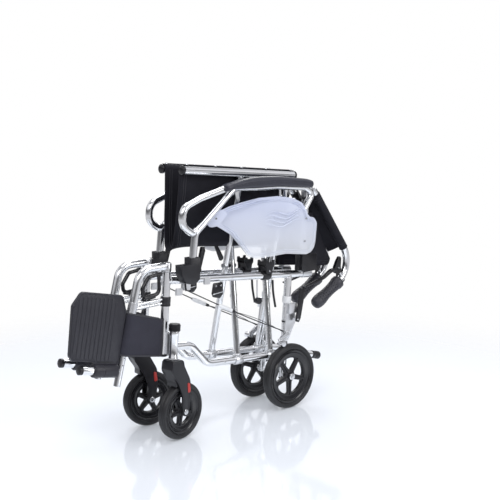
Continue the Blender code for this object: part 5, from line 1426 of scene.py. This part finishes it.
def brake_wires(k, sd):
    """Cable from the armrest mount to the wheel lock, with its barrel, and the loose loops beside it."""
    x = sd * (RAIL_X + 0.014)
    front = at(x, -0.381, 0.4125)
    rear = at(x, -0.0072, 0.2376)
    span = (rear - front).normalized()
    s = Shape()
    s.tube([front.lerp(rear, i / 40) - Vector((0, 0, 0.004 * sin(pi * i / 40))) for i in range(41)], 0.0016,
           "black", sides=10)
    barrel = front + (rear - front) * 0.33
    s.turn([(0.0018, -0.01), (0.0044, -0.0095), (0.0048, 0.0), (0.0062, 0.0008), (0.0062, 0.03),
            (0.005, 0.031), (0.005, 0.0335), (0.0058, 0.0345), (0.0058, 0.044), (0.0018, 0.046)],
           (barrel - Vector((0, 0, 0.0038)), span), "white", 24)
    s.turn([(0.0018, 0), (0.0044, 0.001), (0.0044, 0.012), (0.0018, 0.0135)],
           (barrel + span * 0.046 - Vector((0, 0, 0.0038)), span), "black", 20)
    s.tube([front - Vector((0, 0, 0.002)), at(x, -0.3835, 0.421), at(x, -0.384, 0.4308)], 0.0028, "black",
           sides=12)
    second = []
    for i in range(33):
        t = i / 32
        second.append((barrel + span * 0.058).lerp(rear, t) + Vector((0, 0, -0.004 + 0.0075 * sin(pi * t))))
    s.tube(second, 0.0009, "black", sides=8)
    loop = [at(x - sd * 0.002, -0.001, 0.244), at(x - sd * 0.001, 0.03, 0.252), at(x, 0.04, 0.278),
            at(x, 0.03, 0.3)]
    s.tube(curve_through(loop, 25), 0.001, "black", sides=8)
    s.done("brake_wire_" + k, k + "_frame", ["brake_cable_" + k], "black_plastic")


def small_parts(k, sd):
    """Clips, straps, rivets and caps that ride on a side frame."""
    x = sd * RAIL_X
    s = Shape()
    wedge = [(-0.284, 0.42), (-0.25, 0.42), (-0.25, 0.386), (-0.262, 0.374), (-0.286, 0.38), (-0.29, 0.39)]
    s.prism(rounded_loop(wedge, 0.004, 4), 0.004, side_plane(x + sd * 0.0136), "gloss", 0.001)
    s.prism([(-0.2878, 0.3895), (-0.25, 0.3935), (-0.25, 0.3905), (-0.2878, 0.3865)], 0.0046,
            side_plane(x + sd * 0.0136), "steel", 0.0003)
    for y in (-0.276, -0.258):
        s.screw(at(x + sd * 0.0156, y, 0.411), (sd, 0, 0), 0.0028, "steel")
    for y, z in ((-0.4036, 0.4097), (-0.305, 0.4286)):
        s.box(at(x + sd * 0.0105, y, z), RAILS, (0.006, 0.024, 0.02), "satin", 0.002)
    s.box(framed(x + sd * 0.001, -0.39, RAIL_RISE - 0.019), RAILS, (0.012, 0.026, 0.02), "satin", 0.0012)
    s.turn([(0.0085, 0), (0.0098, 0.001), (0.0098, 0.012), (0.008, 0.014), (0, 0.0142)],
           (at(x + sd * 0.003, -0.1093, 0.3456), (sd, 0, 0)), "black", 28)
    s.tube([at(x + sd * 0.004, -0.1093, 0.3456), at(x + sd * 0.004, -0.1093, 0.408)], 0.0022, "satin",
           sides=10)
    s.tube(curve_through([at(x, -0.0429, 0.399), at(x, -0.04, 0.36), at(x, -0.0308, 0.3147)], 13), 0.0034,
           "black", sides=10)
    s.screw(at(x + sd * 0.038, -0.3723, 0.4932), (sd, 0, 0), 0.0032, "steel")
    low = framed(x, REAR_POST_S, 0.1)
    s.turn(mirrored([(POST_R + 0.0001, -0.003), (0.0121, -0.0026)]), (low, SQUARE), "black")
    s.screw(framed(x + sd * (POST_R - 0.0002), REAR_POST_S, 0.08), (sd, 0, 0), 0.0028, "steel")
    s.screw(framed(x + sd * (FRAME_R - 0.0002), -0.24, 0), (sd, 0, 0), 0.0026, "steel")
    s.done("frame_fittings_" + k, k + "_frame", (), "black_plastic")


def seat_saddle(k, sd):
    """Cradle for the seat tube: a clip round the rail, a narrow stem and two toothed jaws."""
    x = sd * RAIL_X
    s = Shape()
    s.turn(mirrored([(FRAME_R + 0.0003, -0.015), (FRAME_R + 0.0026, -0.0145), (FRAME_R + 0.0034, -0.012)]),
           (framed(x, SADDLE_S, RAIL_RISE), ALONG), "black", 36, True)
    wall = [(-0.011, 0.006), (0.011, 0.006), (0.013, 0.026), (0.017, 0.029), (0.017, 0.048), (0.008, 0.048),
            (0.006, 0.04), (-0.006, 0.04), (-0.008, 0.045), (-0.017, 0.045), (-0.017, 0.029),
            (-0.013, 0.026)]
    place = Matrix.Translation(framed(x, SADDLE_S, RAIL_RISE)) @ RAIL_PLANE
    for face in (1, -1):
        s.prism(rounded_loop(wall, 0.002, 4), 0.0032, lifted(place, face * 0.0175), "black", 0.0006)
    for lift in (0.0105, 0.0238):
        s.box(framed(x, SADDLE_S, RAIL_RISE + lift), RAILS, (0.034, 0.02, 0.005), "black", 0.001)
    for step in (-0.007, 0.007):
        s.box(framed(x, SADDLE_S + step, RAIL_RISE + 0.018), RAILS, (0.028, 0.003, 0.014), "black", 0.0006)
    s.screw(framed(x + sd * 0.019, SADDLE_S, RAIL_RISE + 0.015), (sd, 0, 0), 0.0032, "steel")
    s.done("saddle_cradle_" + k, k + "_frame", ["seat_saddle_" + k], "black_plastic")


def dressed(node, look, bevel):
    """A CAD piece kept as it is, with soft edges and its own material."""
    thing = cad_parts[node]
    weld_edges = thing.modifiers.new("weld", 'WELD')
    weld_edges.merge_threshold = 0.00002
    soft = thing.modifiers.new("soft", 'BEVEL')
    soft.width = bevel
    soft.segments = 3
    soft.limit_method = 'ANGLE'
    soft.angle_limit = radians(32)
    soft.harden_normals = True
    thing.data.shade_smooth()
    thing.data.materials.clear()
    thing.data.materials.append(LOOKS[look])


def stage():
    """Pale floor that fades into white surroundings."""
    mesh = bpy.data.meshes.new("floor")
    bm = bmesh.new()
    bmesh.ops.create_circle(bm, cap_ends=True, segments=96, radius=6.0)
    bm.to_mesh(mesh)
    bm.free()
    floor = placed("floor", mesh)
    made, tree, shader = shader_of("studio_floor", (0.8, 0.84, 0.9), 0.1, specular=0.9)
    fed(tree, shader, {"Roughness": spread(tree, texture(tree, "Noise", 3.0), 0.05, 0.1),
                       "Emission Color": (0.93, 0.96, 1.0, 1), "Emission Strength": 0.16})
    length = add_node(tree, "VectorMath", {0: own_place(tree)}, operation='LENGTH')
    fade = share_of(tree, length.outputs["Value"], 0.65, 1.7, interpolation_type='SMOOTHSTEP')
    clear = add_node(tree, "BsdfTransparent")
    mix = add_node(tree, "MixShader", {0: fade, 1: shader.outputs[0], 2: clear.outputs[0]})
    fed(tree, tree.nodes["Material Output"], {"Surface": mix.outputs[0]})
    mesh.materials.append(made)


def surroundings():
    """White to the camera. To the pieces, a studio with bright cards and a dark band between them."""
    world = bpy.data.worlds.new("studio")
    bpy.context.scene.world = world
    world.use_nodes = True
    tree = world.node_tree
    tree.nodes.clear()
    place = add_node(tree, "TexCoord").outputs["Generated"]
    split = add_node(tree, "SeparateXYZ", {"Vector": place})
    height = share_of(tree, split.outputs["Z"], -1, 1)
    bands = add_node(tree, "ValToRGB", {"Fac": height})
    ramp = bands.color_ramp.elements
    ramp[0].color = (0.5, 0.5, 0.5, 1)
    ramp[1].color = (0.55, 0.56, 0.6, 1)
    for position, shade in ((0.44, 0.8), (0.5, 0.45), (0.545, 0.12), (0.6, 0.14), (0.64, 0.85), (0.8, 1.0),
                            (0.88, 0.45)):
        ramp.new(position).color = (shade, shade, shade * 1.04, 1)
    soft = add_node(tree, "Background", {"Strength": 0.85, "Color": bands.outputs["Color"]})
    white = add_node(tree, "Background", {"Strength": 1.0, "Color": (1, 1, 1, 1)})
    camera_ray = add_node(tree, "LightPath").outputs["Is Camera Ray"]
    mix = add_node(tree, "MixShader", {0: camera_ray, 1: soft.outputs[0], 2: white.outputs[0]})
    add_node(tree, "OutputWorld", {0: mix.outputs[0]})


def lamp(name, place, aim, size, power):
    """A rectangular lamp that points at a place."""
    data = bpy.data.lights.new(name, 'AREA')
    data.shape = 'RECTANGLE'
    data.size = size[0]
    data.size_y = size[1]
    data.energy = power
    made = placed(name, data)
    made.location = place
    made.rotation_euler = (Vector(aim) - Vector(place)).to_track_quat('-Z', 'Y').to_euler()


def camera():
    """The camera of the photo, from its azimuth, height and distance."""
    data = bpy.data.cameras.new("camera")
    data.lens = LENS
    data.sensor_width = SENSOR
    made = placed("camera", data)
    away = Vector((cos(CAMERA_HEIGHT) * sin(CAMERA_AZIMUTH), -cos(CAMERA_HEIGHT) * cos(CAMERA_AZIMUTH),
                   sin(CAMERA_HEIGHT)))
    made.location = CAMERA_TARGET + away * CAMERA_DISTANCE
    made.rotation_euler = (-away).to_track_quat('-Z', 'Y').to_euler()
    bpy.context.scene.camera = made


DRESSED = (("armrest_socket_", "black", 0.001), ("armrest_bracket_", "gloss", 0.001),
           ("armrest_latch_", "gloss", 0.0008), ("parking_bracket_", "satin", 0.0005),
           ("parking_lever_", "gloss", 0.0008), ("brake_shoe_", "steel", 0.0005))
for side_name, side_sign in SIDES.items():
    for build in (side_frame, rear_wheel, castor, leg_support, footplate, calf_strap, armrest, back_tubes,
                  brake_wires, small_parts):
        build(side_name, side_sign)
brace("a", SIDES["right"])
brace("b", SIDES["left"])
for side_name, side_sign in SIDES.items():
    for build in (seat_cloth, lower_back, upper_back, seat_saddle):
        build(side_name, side_sign)
    for piece, look_name, edge_width in DRESSED:
        dressed(piece + side_name, look_name, edge_width)
bpy.context.scene.view_settings.view_transform = 'Standard'
stage()
surroundings()
lamp("key", (1.6, -2.2, 2.4), (0, 0, 0.4), (1.6, 1.2), 31)
lamp("side", (2.5, 1.0, 1.4), (0, 0, 0.4), (0.7, 1.6), 20)
lamp("back", (-2.0, 1.4, 2.0), (0, 0, 0.4), (1.6, 1.2), 26)
lamp("top", (0, 0, 3.0), (0, 0, 0), (2.2, 2.2), 29)
camera()
